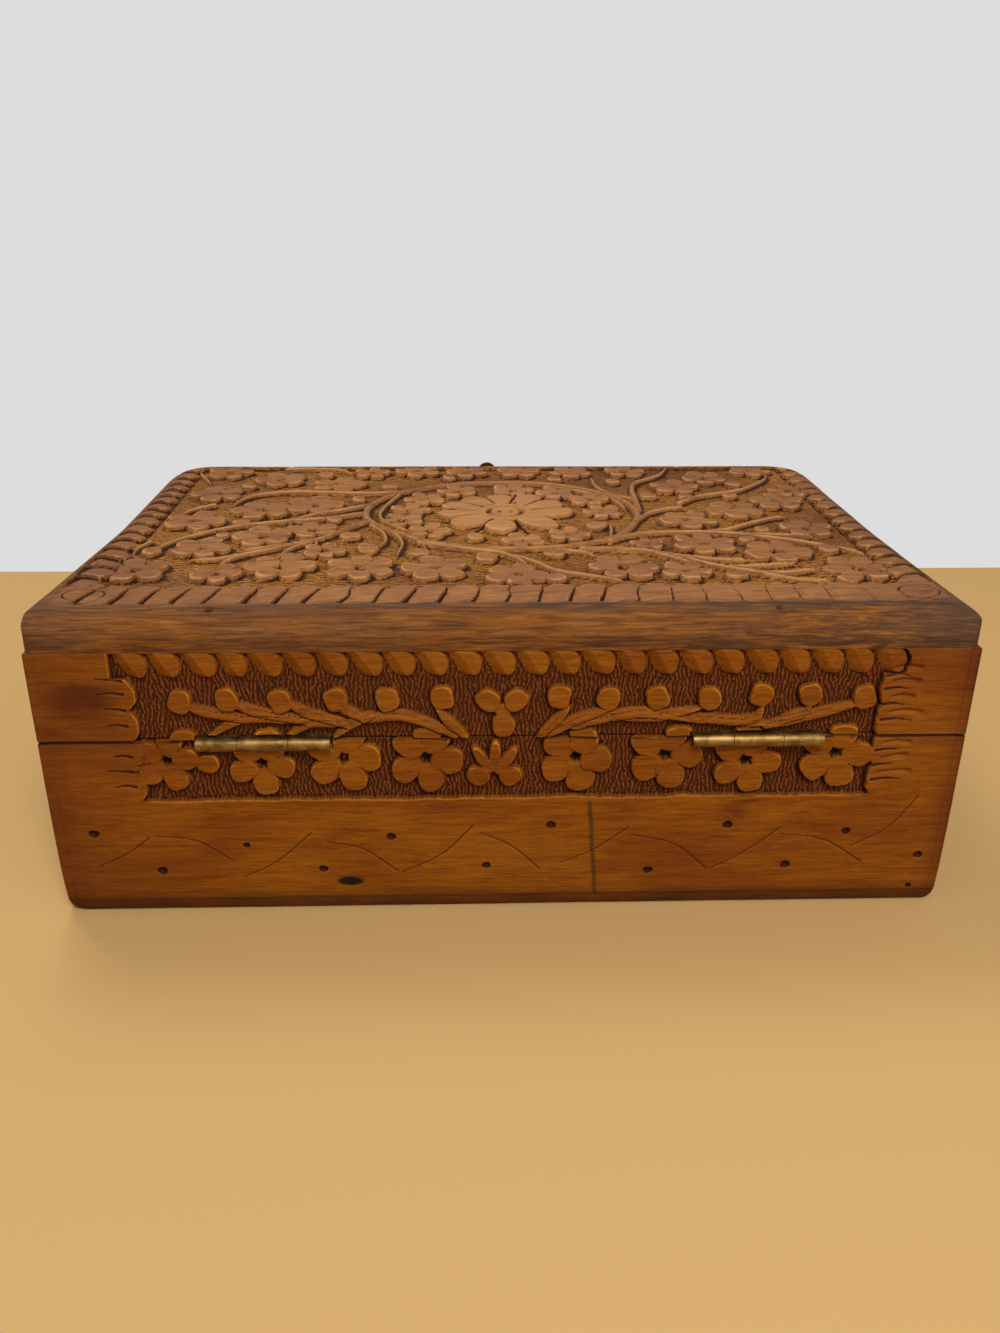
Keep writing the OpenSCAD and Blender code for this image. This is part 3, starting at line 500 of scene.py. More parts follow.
wallStyle = {
    "step": 0.38,          # of the grid that is carved
    "backStep": 0.3,
    "bandEnd": 24.0,       # plain wood between a wall's end and the band
    "bandLow": 36.5,
    "ropeLow": 73.7,
    "ropeHigh": 81.2,
    "pitch": 8.8,          # of the rope lobes
    "backRope": (-104.5, 24),
    "flowerPitch": 22.6,
    "budPitch": 14,
    "nicks": (41.0, 45.6, 50.3, 59.7, 64.4, 69.1, 73.0),
    "gap": 0.15,
    "ground": 2.0,
    "pad": 12,             # half width of the plain wood behind the hasp
    "seeds": {"back": 11, "front": 12, "left": 13, "right": 14},
    "faces": {"back": 185000, "front": 120000, "left": 90000, "right": 90000},
}

backFlowers = [   # across, up, radius, petals, first petal
    (-93.3, 48.6, 8.7, 5, 0.4), (-67.3, 47.6, 8.7, 5, 0.1), (-45.0, 48.8, 9.8, 5, 0.35),
    (-22.5, 48.8, 9.8, 5, 0.2), (18.8, 48.8, 9.8, 5, 0.25), (43.5, 49.3, 9.8, 5, 0.3),
    (66.3, 47.0, 9.2, 5, 0.32), (91.3, 49.3, 9.8, 5, 0.28),
]
backBuds = [-87.8, -75.3, -61.2, -46.2, -32.5, -17.8, 13.8, 27.2, 40.5, 54.7, 68.8, 82.2, 97.2]
backSprays = [
    [(-11.6, 55.7), (-15.4, 59.5), (-19.2, 64.1)], [(-14.2, 56.1), (-28.5, 62.0), (-43.6, 59.9)],
    [(-36.9, 62.4), (-42.8, 59.5), (-47.0, 56.1)], [(-39.4, 61.6), (-44.5, 64.5), (-47.8, 68.7)],
    [(-43.6, 59.9), (-54.6, 63.3), (-60.5, 67.9)], [(-54.6, 61.0), (-68.0, 63.7), (-76.4, 67.9)],
    [(-71.4, 61.8), (-81.5, 63.7), (-87.4, 66.6)], [(-43.6, 59.9), (-52.9, 60.3), (-59.6, 56.5)],
    [(-56.2, 61.0), (-70.6, 61.8), (-80.7, 56.5)], [(8.8, 55.3), (12.6, 59.5), (16.4, 64.1)],
    [(10.9, 56.1), (18.5, 60.3), (28.2, 64.1)], [(16.8, 58.6), (35.4, 62.4), (53.9, 59.5)],
    [(27.8, 61.6), (40.4, 61.2), (52.2, 63.7)], [(50.5, 60.8), (64.0, 59.5), (72.4, 58.6)],
    [(58.9, 59.5), (67.3, 60.3), (69.5, 64.0)], [(70.7, 58.2), (84.2, 61.6), (98.5, 65.8)],
    [(75.8, 60.3), (81.0, 62.0), (82.5, 64.0)],
]
backHalfPetals = [-87.8, -65.3, -22.0, 20.5, 47.2, 66.3, 93.0]


def bandField(carving, left, right, low, high, centre):
    u, v = carving.u, carving.v
    scallop = 3.4 * np.sqrt(np.clip(1 - (((v - centre) % 9.4 - 4.7) / 4.9) ** 2, 0, 1))
    wander = 0.35 * carving.cloud(6.0) + 0.22 * carving.cloud(1.5)
    edges = [u - left - scallop + wander, right - u - scallop * 0.4 + wander, v - low + wander, high - v]
    carving.inside = np.minimum.reduce(edges)


def endNicks(carving, left, right):
    for z in wallStyle["nicks"]:
        if carving.vLine[0] + 0.5 < z < carving.vLine[-1] - 0.5:
            for edge, way in ((left, -1), (right, 1)):
                start = edge - way * 0.6
                length = way * carving.draw.uniform(5.5, 8.5)
                rise = carving.draw.uniform(-0.2, 0.9)
                path = [(start, z), (start + length * 0.5, z + 0.5), (start + length, z + rise)]
                carving.groove(path, 1.3, 0.3, 0.7, dark=1.3)
                if way > 0:   # a clean wide gouge above each dark nick
                    carving.groove([(a + 2.0, b + 2.3) for a, b in path], 1.6, 2.4, 0.9, dark=0.0)


def ropeRow(carving, left, count):
    low, high = wallStyle["ropeLow"], wallStyle["ropeHigh"]
    tall = high - low
    first = left
    for i in range(count):
        last = left + (i + 1) * wallStyle["pitch"] + carving.draw.uniform(-0.5, 0.5)
        w = carving.near(first - 1.5, last + 1.5, low - 1, high + 1)
        x, y = carving.u[w], carving.v[w] - low
        arc = np.clip((tall * 0.62) ** 2 - (y - tall * 0.45) ** 2, 0.01, None)
        bulge = np.sqrt(arc) - tall * 0.5   # the round right end
        right = last + bulge
        start = first + bulge if i else first
        inside = np.minimum.reduce([right - x, x - start - 0.3, y + 0.2, tall + 0.6 - y])
        ridge = first + (last - first) * (0.86 - 0.5 * y / tall)   # from upper left to lower right
        before, after = np.clip(ridge - x, 0, 9), np.clip(x - ridge, 0, 9)
        step = 0.3 * ease(after / 0.5) * np.exp(-after / 1.2)
        facet = 0.38 * before + 0.02 * before ** 2 + 0.1 * after + step
        crown = 0.6 * np.clip(1 - (right - x) / 1.1, 0, 1) ** 2 + 0.5 * np.clip(1 - y / 1.4, 0, 1) ** 2
        carving.stand(w, -0.05 - facet - crown, ease(inside / 0.4), 0.9)
        within = (x > first - 0.4) & (x < right + 0.5) & (y > -0.2)
        carving.inside[w] = np.where(within, 3.0, carving.inside[w])
        first = last


def twig(carving, way, middle, points, wide0, wide1):
    carving.vine([(way * (middle + a), box["seam"] + b) for a, b in points], wide0, wide1)


def lidMotifs(carving, half):   # the sprays over the seam on the front and the sides
    seam, pitch = box["seam"], wallStyle["budPitch"]
    carving.flower(0, seam + 8, 6.4, 3, -math.pi / 2, eye=0)
    for way in (-1, 1):
        for i in range(int((half - wallStyle["bandEnd"] - 18) / pitch) + 1):
            a = 16 + i * pitch
            rise = carving.draw.uniform(-0.3, 0.3)
            carving.lobe(way * a, seam + 12.6 + rise, 3.4, 3.1, 1.57, crown=0.35)
            twig(carving, way, a, [(-8, 5.4), (-3.2, 7.4), (0, 10.6)], 2.6, 1.6)
            twig(carving, way, a, [(-9, 5.6), (1, 7.2), (9, 5.0)], 2.4, 2.2)
            if i % 2:
                twig(carving, way, a, [(-6, 6), (1, 4.6), (6, 1.4)], 2.2, 1.6)
            else:
                carving.lobe(way * (a + 6), seam + 0.4, 3.2, 3.0, 1.57, crown=0.4)
        twig(carving, way, 0, [(3, 0.4), (6, 3), (9, 5.8)], 2.2, 2.2)


def baseMotifs(carving, half):   # the flowers under the seam there
    pitch = wallStyle["flowerPitch"]
    for way in (-1, 1):
        for i in range(1, int((half - wallStyle["bandEnd"] - 8) / pitch) + 1):
            carving.flower(way * i * pitch, box["seam"] - 6.2, 9.6, 5, -1.57 + way * 0.14 * i)
    leafFan(carving, 0, box["seam"] - 12)


def leafFan(carving, u, low):
    for du, dv in ((-6.2, 9.6), (0.4, 11.6), (6.6, 9.2)):
        turn = math.atan2(dv, du)
        long = math.hypot(du, dv) / 2
        carving.lobe(u + du / 2, low + dv / 2, long, 1.9, turn, crown=0.7)
    carving.lobe(u - 4.4, low - 0.2, 3.6, 3.3, 2.6, crown=0.5)
    carving.lobe(u + 4.6, low - 0.2, 3.6, 3.4, 0.5, crown=0.5)


def hingeNotch(carving):   # the round bed of each barrel across the seam
    for x in box["hinges"]:
        u0 = -x   # the back is seen from behind
        w = carving.near(u0 - 18.6, u0 + 18.6, 51, 58)
        z = carving.v[w] - box["axisUp"]
        within = (np.abs(z) < 2.46) & (np.abs(carving.u[w] - u0) < 18.6)
        bed = np.where(within, np.sqrt(np.clip(6.25 - z * z, 0, None)) - 0.4, 0)
        carving.depth[w] = np.minimum(carving.depth[w], -np.maximum(bed, 0))


def scribedPattern(carving, half, low):   # the arcs and punched dots along the plain part of the base
    arcs = []
    reach, u = half - 22, -(half - 22)
    while u < reach - 20:
        arcs.append([(u, low + 8), (u + 8.5, low + 11.5), (u + 15, low + 17.5)])
        arcs.append([(u + 17, low + 17.3), (u + 27, low + 15.2), (u + 37, low + 8.4)])
        for across, up in ((-3, 17), (18, 6)):
            carving.hole(u + across, low + up + carving.draw.uniform(-1, 1), 1.2, 1.2)
        u += 44
    for arc in arcs:
        bent = [(a, b + carving.draw.uniform(-0.5, 0.5)) for a, b in arc]
        carving.groove(bent, 0.66, 0.5, 0.3, dark=1.4)


def drawnPoint(x, y):   # the scribing of the back is laid out at six points to the millimetre
    return x / 6 - 132, 83.9 - y / 6


backArcs = [
    [(97, 412), (150, 385), (188, 355)], [(200, 353), (265, 362), (325, 403)],
    [(340, 437), (400, 405), (460, 350)], [(485, 368), (545, 382), (605, 428)],
    [(610, 432), (680, 395), (735, 338)], [(745, 352), (800, 380), (850, 428)],
    [(885, 415), (940, 390), (1000, 345)], [(1005, 360), (1080, 380), (1140, 430)],
    [(1145, 432), (1200, 400), (1262, 350)], [(1262, 362), (1340, 375), (1410, 420)],
    [(1390, 388), (1450, 350), (1492, 290)],
]
backDots = [   # with their radii in millimetres
    (97, 347, 1.35), (350, 372, 0.9), (595, 359, 1.25), (867, 339, 1.25), (1170, 343, 1.3),
    (1377, 358, 1.2), (203, 422, 1.35), (477, 422, 1.2), (757, 419, 1.15), (1038, 433, 1.25),
    (1278, 425, 1.35), (1510, 408, 1.2), (1503, 472, 0.8),
]


def backScribing(carving):
    for arc in backArcs:
        carving.groove([drawnPoint(*p) for p in arc], 0.6, 0.72, 0.34, dark=1.3)
    for x, y, r in backDots:
        carving.hole(*drawnPoint(x, y), r, 1.3)


def backLidMotifs(c):
    for u in backBuds:
        rise, lean, square = (c.draw.uniform(*ends) for ends in ((-0.5, 0.5), (-0.4, 0.4), (2.2, 3.2)))
        c.lobe(u, 67.0 + rise, 3.7, 3.4, 1.57 + lean, square=square)
    for spray in backSprays:
        c.leaf(spray, 3.4)
    for (u0, v0), (u1, v1), (u2, v2) in backSprays:
        reach = 0.3 if v2 > 63.5 else 0.8   # the cuts stop short of the bud
        tip = u1 + reach * (u2 - u1), v1 + reach * (v2 - v1)
        for shift, wide, deep in ((-1.6, 0.5, 0.6), (0.5, 0.35, 0.3)):
            cut = [(u, v + shift) for u, v in ((u0, v0), (u1, v1), tip)]
            c.groove(cut, wide, 0.3, deep, dark=1.8)
    for u in backHalfPetals:
        c.lobe(u, 55.6, 4.2, 3.0, 0, crown=0.5)
    for u, v in ((-5.4, 66.4), (2.2, 66.4), (-1.2, 58.9)):
        c.lobe(u, v, 3.8, 3.4, math.atan2(v - 63.4, u + 1.4), crown=0.5)
    c.lobe(-1.4, 63.4, 2.6, 2.4, 0, top=-0.4)


def backBaseMotifs(c):
    for u, v, r, petals, turn in backFlowers:
        c.flower(u, v, r * 1.06, petals, turn - 1.57, eye=1.1)
    c.lobe(-82.0, 48.0, 3.5, 3.2, 0)
    leafFan(c, -3.7, 43.4)
    backScribing(c)


def carveWall(side, lid, half, length):
    style, seam = wallStyle, box["seam"]
    back = side == "back"
    low, high = (seam + style["gap"], box["boardLow"]) if lid else (4.0, seam - style["gap"])
    c = Carving(-length, length, low, high, style["backStep" if back else "step"], style["ground"],
                style["seeds"][side] + (0 if lid else 10))
    start, end = -half + style["bandEnd"], half - style["bandEnd"]
    bandField(c, start + 0.5, end - 0.5, 20 if lid else style["bandLow"], 90, seam)
    if lid:
        if back:
            backLidMotifs(c)
        else:
            lidMotifs(c, half)
        count = int((2 * half - 2 * 20.5) / style["pitch"])
        c.inside = np.where(c.v > style["ropeLow"] + 0.3, -9.0, c.inside)
        ropeRow(c, *(style["backRope"] if back else (-count * style["pitch"] / 2, count)))
    elif back:
        backBaseMotifs(c)
    else:
        baseMotifs(c, half)
        scribedPattern(c, half, 4.0)
    endNicks(c, start, end)
    if side == "front":
        pad = np.abs(c.u - box["hasp"]) < style["pad"]
        c.inside = np.where(pad, -9, c.inside)
        c.raised = np.where(pad, 0, c.raised)
    return c


def sinkBrads(c, places, deep, radius, soft):   # the dimple over each head
    for u, v in places:
        w, d = c.around(u, v, 3)
        c.depth[w] -= deep * ease((radius - d) / soft)


def gatherDirtAndShade(c, near, far, share=1.0):   # painted shade and dirt in what lies low and in the cuts; below zero on the ridges, where the finish paints a highlight
    hollow = np.maximum(c.shaded(2) / near, c.shaded(6) / far)
    c.dirt = np.clip(hollow, -1, 1) + np.clip(c.dark * share, 0, 1)


walls = {   # name: side, whether lid, half width of the pattern, half length of the block
    "lid_back_wall": ("back", True, 127, 124),
    "lid_front_wall": ("front", True, 127, 124),
    "lid_left_wall": ("left", True, 86, 86),
    "lid_right_wall": ("right", True, 86, 86),
    "base_back_wall": ("back", False, 127, 124),
    "base_front_wall": ("front", False, 127, 124),
    "base_left_wall": ("left", False, 86, 86),
    "base_right_wall": ("right", False, 86, 86),
}
wear = {   # radii in millimetres
    "lidRims": (0.4, 0.3),                 # low, high
    "baseRims": (0.15, 0.4),
    "ends": 0.04,
    "sideEnds": 0.55,
    "foot": {"right": 1.6, "left": 0.9},   # how far the low corners are worn away
    "otherFoot": 0.1,
    "lidBrads": (62.15, 74.0),             # heights
    "baseBrads": (16.0, 43.85),
    "bradAcross": 80.5,
}


def makeWall(name):
    side, lid, half, length = walls[name]
    aside = side in ("left", "right")
    c = carveWall(side, lid, half, length)
    c.settle()
    if side == "back":
        hingeNotch(c)
    if aside:
        heights = wear["lidBrads" if lid else "baseBrads"]
        sinkBrads(c, [(e * wear["bradAcross"], z) for e in (-1, 1) for z in heights], 0.35, 1.5, 0.7)
    foot = 0.0 if lid else wear["foot"].get(side, wear["otherFoot"])
    rims = wear["lidRims" if lid else "baseRims"]
    c.depth -= roundRims(c, (wear["sideEnds" if aside else "ends"], *rims, foot))
    c.depth += 0.04 * c.cloud(24.0, 9.0) - 0.04
    c.depth = np.minimum(c.depth, 0)
    gatherDirtAndShade(c, 0.5, 1.9)
    back, core = (box["lip"], (75.0, box["wall"])) if aside else (box["wall"], None)
    block = makeBlock("carved_" + name, c, back, core=core)
    thin(block, wallStyle["faces"][side])
    standUp(block, side)
    if side == "back":
        cutMortises(block, lid)
    closeUp(block)
    paintCarving(block, c, side)
    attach(block, "lid" if lid else "base")
    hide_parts(name)
    return block


def cutMortises(block, lid):   # room for the hinge leaves in the edge along the seam
    low, high = (55.0, 56.15) if lid else (53.85, 55.2)
    for x in box["hinges"]:
        bpy.ops.mesh.primitive_cube_add(size=1)
        cutter = bpy.context.object
        middle = Matrix.Translation(Vector((x, 82.2, (low + high) / 2)) * mm)
        cutter.data.transform(middle @ Matrix.Diagonal((36.2 * mm, 9.8 * mm, (high - low) * mm, 1)))
        room = block.modifiers.new("mortise", "BOOLEAN")
        room.object = cutter
        room.operation = "DIFFERENCE"
        room.solver = "EXACT"
        bpy.context.view_layer.objects.active = block
        bpy.ops.object.modifier_apply(modifier="mortise")
        bpy.data.objects.remove(cutter)


bottom = {
    "halfWide": 126.85,
    "halfDeep": 85.85,
    "thick": 4.0,
    "step": 0.8,
    "rightRun": 6.5,    # how far in from each edge it is worn
    "leftRun": 3.8,
    "edgeRun": 1.9,
    "edgeDrop": 1.7,
    "corners": {(-1, -1): 1.2, (-1, 1): 1.2, (1, -1): 2.4, (1, 1): 2.4},
}


def rounding(share):   # a quarter round, just short of upright at its end
    return 1 - np.sqrt(1 - 0.97 * share ** 2)


def makeBottomBoard():   # seen from below, its lower edges worn round
    wide, deep = bottom["halfWide"], bottom["halfDeep"]
    c = Carving(-wide, wide, -deep, deep, bottom["step"], 0, 31)
    shift = 0.25 * c.cloud(19.0)
    run = np.where(c.u > 0, bottom["rightRun"], bottom["leftRun"]) + shift
    ends = np.clip(1 - (wide - np.abs(c.u)) / run, 0, 1)
    edges = np.clip(1 - (deep - np.abs(c.v)) / (bottom["edgeRun"] + shift), 0, 1)
    fall = -bottom["thick"] * rounding(ends) - bottom["edgeDrop"] * rounding(edges)
    c.depth = fall - 0.05 * (1 + c.cloud(26.0))
    block = makeBlock("worn_bottom_board", c, bottom["thick"], plan=bottom)
    standUp(block, "bottom")
    closeUp(block)
    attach(block, "base")
    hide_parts("bottom_board")
    return block


# the carved lid board

board = {
    "halfWide": 126.9,
    "halfDeep": 85.6,
    "run": 9.0,         # bevel along front and back
    "sideRun": 7.0,
    "drop": 5.9,
    "leftDrop": 0.5,
    "rightDrop": 1.7,
    "farRadius": 19.0,  # of the top's outline at the two corners away from the hinges
    "corners": {(-1, 1): 4.0, (1, 1): 3.2, (-1, -1): 9.5, (1, -1): 11.0},
    "pitch": 8.83,      # of the lobes along the twisted borders
    "first": 104.5,     # where they start
    "step": 0.34,
    "faces": 195000,
    "ground": 2.0,
    "slope": 0.6,
    "brads": [(-73, 78.6), (-73, -78.6), (79, 78.6), (79, -78.6),
              (119.6, 41), (119.6, -41), (-119.6, 41), (-119.6, -41)],
}


def topPoint(x, y):   # the pattern is laid out seen from behind, at six points to the millimetre
    return 132 - x / 6, y / 6 - 88.6


topRing = [
    (525, 470), (527, 400), (560, 325), (625, 262), (705, 222), (800, 207), (890, 215), (975, 255),
    (1040, 320), (1075, 400), (1078, 470), (1055, 545), (1020, 610), (960, 655), (880, 683),
    (800, 688), (720, 672), (650, 640), (590, 585), (545, 525),
]
topFlowers = [   # across, up, radius
    (710, 285, 42), (830, 275, 44), (922, 300, 42), (990, 352, 42), (1008, 445, 40), (925, 605, 40),
    (835, 642, 40), (655, 580, 42), (600, 505, 42), (612, 430, 40), (640, 348, 42), (1192, 250, 52),
    (1274, 170, 48), (1100, 107, 46), (973, 112, 46), (850, 107, 48), (1284, 434, 58),
    (1391, 372, 55), (1175, 503, 56), (1440, 286, 45), (1396, 102, 48), (1398, 570, 50),
    (1176, 665, 58), (1067, 665, 32), (1302, 712, 58), (1004, 800, 60), (1112, 820, 44),
    (1418, 811, 58), (812, 840, 54), (671, 801, 58), (540, 796, 60), (396, 790, 60), (292, 825, 44),
    (151, 806, 54), (465, 700, 38), (340, 612, 56), (238, 682, 52), (430, 570, 48), (187, 505, 58),
    (306, 430, 58), (413, 393, 58), (194, 301, 54), (444, 224, 58), (311, 179, 55), (184, 115, 50),
    (617, 102, 50), (512, 120, 40), (730, 110, 46),
]
sixPetalled = {(396, 790), (540, 796), (1004, 800), (1176, 665), (1418, 811)}
topBuds = [   # across, up, radius
    (745, 617, 20), (985, 545, 24), (1403, 700, 22), (1262, 640, 20), (1307, 575, 18),
    (880, 855, 22), (1196, 846, 22), (1383, 872, 20), (888, 722, 22), (763, 742, 24),
    (400, 735, 20), (640, 715, 22), (545, 690, 24), (505, 610, 22), (560, 245, 20), (408, 138, 22),
    (283, 520, 20), (262, 603, 16), (152, 702, 20), (463, 500, 18), (1121, 327, 20),
    (1202, 332, 18), (1300, 325, 18), (500, 350, 18), (1330, 225, 20), (930, 180, 18),
    (1060, 200, 18), (690, 165, 18), (250, 240, 18),
]
topVines = [   # points, then the half widths at both ends
    ([(600, 285), (540, 296), (470, 293), (390, 285), (320, 290), (270, 320), (238, 385)], 8, 3),
    ([(530, 385), (470, 430), (420, 460), (388, 498), (375, 535)], 7, 3),
    ([(515, 455), (440, 490), (350, 515), (270, 548), (205, 605), (170, 655), (156, 700)], 8, 3),
    ([(525, 515), (490, 565), (455, 620), (400, 660), (310, 697)], 9, 4),
    ([(455, 625), (415, 668), (385, 715)], 5, 2),
    ([(400, 665), (330, 715), (275, 745), (225, 753)], 7, 3),
    ([(330, 715), (305, 745), (285, 782)], 5, 2),
    ([(540, 540), (565, 585), (575, 635), (562, 680)], 6, 3),
    ([(560, 560), (595, 610), (607, 660), (598, 735)], 6, 3),
    ([(600, 600), (640, 650), (655, 692)], 5, 2),
    ([(640, 650), (720, 685), (790, 715), (850, 770), (885, 815), (950, 848), (1005, 880)], 8, 3),
    ([(790, 715), (825, 760), (838, 800)], 5, 2),
    ([(445, 640), (447, 675), (460, 700)], 4, 2),
    ([(204, 388), (168, 423), (148, 469)], 6, 3),
    ([(117, 122), (140, 170), (165, 222)], 6, 3),
    ([(311, 80), (380, 80), (439, 92), (474, 143)], 6, 3),
    ([(136, 640), (118, 700), (111, 755)], 5, 3),
    ([(585, 310), (560, 400), (553, 470), (575, 535), (625, 588)], 5, 4),
    ([(905, 245), (985, 290), (1040, 350), (1062, 430)], 5, 4),
    ([(1000, 640), (1050, 605), (1115, 590), (1196, 592), (1272, 603), (1340, 608), (1408, 625)], 9, 3),
    ([(1196, 592), (1240, 573), (1290, 535), (1340, 502), (1385, 480)], 6, 3),
    ([(1260, 605), (1340, 640), (1400, 678), (1445, 712), (1464, 748)], 7, 3),
    ([(1075, 500), (1105, 455), (1150, 422), (1195, 413)], 7, 3),
    ([(1085, 430), (1092, 330), (1095, 270), (1112, 210), (1172, 148), (1207, 66)], 10, 3),
    ([(1085, 350), (1050, 320), (1020, 250), (1014, 153)], 6, 3),
    ([(1180, 378), (1233, 327), (1290, 300), (1340, 270), (1380, 225), (1411, 184), (1432, 128)], 7, 3),
    ([(943, 690), (1044, 700), (1110, 735), (1150, 775), (1186, 800), (1236, 830), (1297, 868),
      (1360, 878)], 9, 3),
    ([(1110, 735), (1180, 757), (1250, 765)], 5, 2),
    ([(1190, 800), (1250, 792), (1327, 780)], 5, 3),
    ([(1205, 815), (1272, 832), (1340, 817)], 5, 8),
    ([(1075, 720), (1120, 765), (1138, 815)], 5, 2),
    ([(893, 700), (940, 712), (969, 745)], 6, 2),
    ([(1000, 640), (1012, 565), (1005, 510)], 5, 2),
]
rosette = {
    "at": (808, 447),
    "radius": 23.3,
    "petals": (0, 47, 97, 140, 176, 204, 234, 266, 297, 328),   # degrees
    "middle": [   # the turned rings: distance from the middle, height
        (0, -0.1), (1.2, -0.2), (1.9, -0.9), (2.2, -1.1), (2.9, -0.3), (3.6, -0.1), (4.7, -0.2),
        (5.1, -1.2), (6.3, -1.4), (6.9, -0.3), (8.6, -0.15), (9.3, -0.5), (9.9, -2),
    ],
}


def boardCarving():
    wide, deep = board["halfWide"], board["halfDeep"]
    c = Carving(-wide, wide, -deep, deep, board["step"], board["ground"], 5, board["slope"])
    wander = 0.5 * c.cloud(7.0)
    c.jitter = 1.2 * c.cloud(13.0) + 0.35 * c.cloud(3.5)   # the lobes along the borders aren't quite even
    beside, before = (np.abs(np.cos(math.pi * (at + c.jitter) / board["pitch"])) ** 3
                      for at in (-c.v, c.u - board["first"]))
    side = 112.4 + 3.0 * beside + 0.4 * wander
    near = 58.7 + 3.2 * before + 0.3 * wander
    c.inside = np.minimum.reduce([side - np.abs(c.u), near - c.v, c.v + 77.4 + wander])
    c.vine([topPoint(*p) for p in topRing], 2.7, 2.7, closed=True)
    for i, (x, y, r) in enumerate(topFlowers):   # each is turned another way
        petals = 6 if (x, y) in sixPetalled else 5
        c.flower(*topPoint(x, y), r / 6 * 1.08, petals, math.radians(i * 37 % 72), eye=0.55)
    for x, y, r in topBuds:
        c.lobe(*topPoint(x, y), r / 6 * 1.05, r / 6 * 0.9, c.draw.uniform(0, 3.1), crown=0.4)
    for points, a, b in topVines:
        c.vine([topPoint(*p) for p in points], a / 3.3, max(b / 3.3, 0.9))
    carveRosette(c)
    carveBorders(c)
    c.settle()
    return c


def carveRosette(c):
    u0, v0 = topPoint(*rosette["at"])
    r = rosette["radius"]
    for degrees in rosette["petals"]:
        a = math.radians(180 - degrees)
        (u, v), = spoke(u0, v0, a, [0.66 * r])
        c.lobe(u, v, 0.36 * r, 0.235 * r, a, top=-0.15, crown=0.5, dip=0.15)
    turns = rosette["petals"] + (360,)
    for first, second in zip(turns, turns[1:]):
        a = math.radians(180 - (first + second) / 2)
        c.groove(spoke(u0, v0, a, [t * r for t in (0.42, 0.7, 0.98)]), 1.0, 1.6, 1.2)
    w, d = c.around(u0, v0, 11)
    bands = np.interp(d, *zip(*rosette["middle"]))
    petals = np.where(d > 9.2, c.raised[w], -9)
    c.raised[w] = np.where(d < 9.7, np.maximum(bands, petals), c.raised[w])


def carveBorders(c):   # each lobe stands high at its cut and falls towards the next one
    c.lean = np.zeros(c.u.shape)
    vigour = 1 + 0.45 * c.cloud(11.0)
    for kind, low, high in (("back", 58.2, 74.8), ("left", 112.0, 123.0), ("right", 112.0, 123.0)):
        if kind == "back":
            w = c.near(-117, 117, low - 2, high + 2)
            x, y, reach = c.u[w] - board["first"], c.v[w], 117 - np.abs(c.u[w])
            lean, tall = 0.27 * np.clip((c.u[w] + 70) / 90, -0.4, 1), 1.5
        else:
            way = 1 if kind == "right" else -1
            w = c.near(*sorted((way * (low - 2), way * (high + 2))), -76, 60.8)
            x, y, reach = -c.v[w], c.u[w] * way, np.minimum(60.4 - c.v[w], c.v[w] + 75)
            lean, tall = 0.4, 1.4
        bend = np.clip((y - low) / (high - low), 0, 1)
        slant = lean * (high - low) * bend ** 1.8
        turn = ((x - slant + c.jitter[w]) / board["pitch"]) % 1   # 0 just past a cut, 1 at the next
        outer = ease((high + 1.1 * np.sin(turn * math.pi) - y) / 0.5)
        row = ease((y - low) / 0.5) * outer * ease(reach / 1.5)
        deep = vigour[w] * np.clip((c.u[w] + 170) / 180, 0.55, 1)   # the cuts are shallower towards -X
        facet = deep * turn ** 1.6 * (tall * (0.25 + 0.75 * bend) if kind == "back" else tall)
        width = 0.3 + 1.1 * bend ** 2
        gap = 0.75 * deep * np.clip(1 - (1 - turn) * board["pitch"] / width, 0, 1) ** 0.8
        facet = facet + 0.8 * (2 * bend - 1) ** 2 * ease(turn * 6) * ease((1 - turn) * 6)
        facet = facet + 0.5 * (1 - ease(turn * 5)) * bend ** 4
        c.lean[w] = np.maximum(c.lean[w], row * (facet + 0.5 * (1 - ease((high - y) / 2.2))))
        c.cut(w, row * gap * (0.35 + 0.65 * bend), 1.2)
    turns = np.linspace(0, 2 * math.pi, 9)[:-1]
    for way in (-1, 1):   # the oval that turns the border at each corner next to the hinges
        oval = [(way * (115.2 + 5.6 * math.cos(a)), 67.2 + 5.0 * math.sin(a)) for a in turns]
        c.groove(oval, 0.8, 1.2, 0.7, closed=True, dark=0.8)
        c.groove([(way * 111.5, 66), (way * 115, 67.6), (way * 119, 67.4)], 0.5, 0.9, 0.5, dark=1.0)


def bevelFall(c):   # the drop of the board's rounded edge at each point
    u, v, r = c.u, c.v, board["farRadius"]
    wide, deep, run, full = board["halfWide"], board["halfDeep"], board["run"], board["drop"]
    corner = np.where(u > 0, board["leftDrop"], board["rightDrop"])   # next to the hinges
    drop = full - (full - corner) * np.clip((v + np.where(u > 0, 6, 0)) / deep, 0, 1)
    sideRun = board["sideRun"] + 2.2 * np.clip(0.6 - v / deep, 0, 1.6)
    across = np.clip(1 - (wide - np.abs(u)) / sideRun, 0, 1)
    along = np.clip(1 - (deep - np.abs(v)) / run, 0, 1)
    sideways = drop * across ** 1.45 + 0.4 * np.clip(across * 7 - 6, 0, 1) ** 2
    a, b = np.abs(u) - (wide - r), -v - (deep - r)
    turn = np.where((a > 0) & (b > 0), np.clip(1 - (r - np.hypot(a, b)) / run, 0, 1), 0)
    along, turn = (full * (0.3 * t + 1.05 * (1 - np.sqrt(1 - 0.9 * t ** 2))) for t in (along, turn))
    return np.maximum((sideways ** 3 + along ** 3) ** (1 / 3), turn)


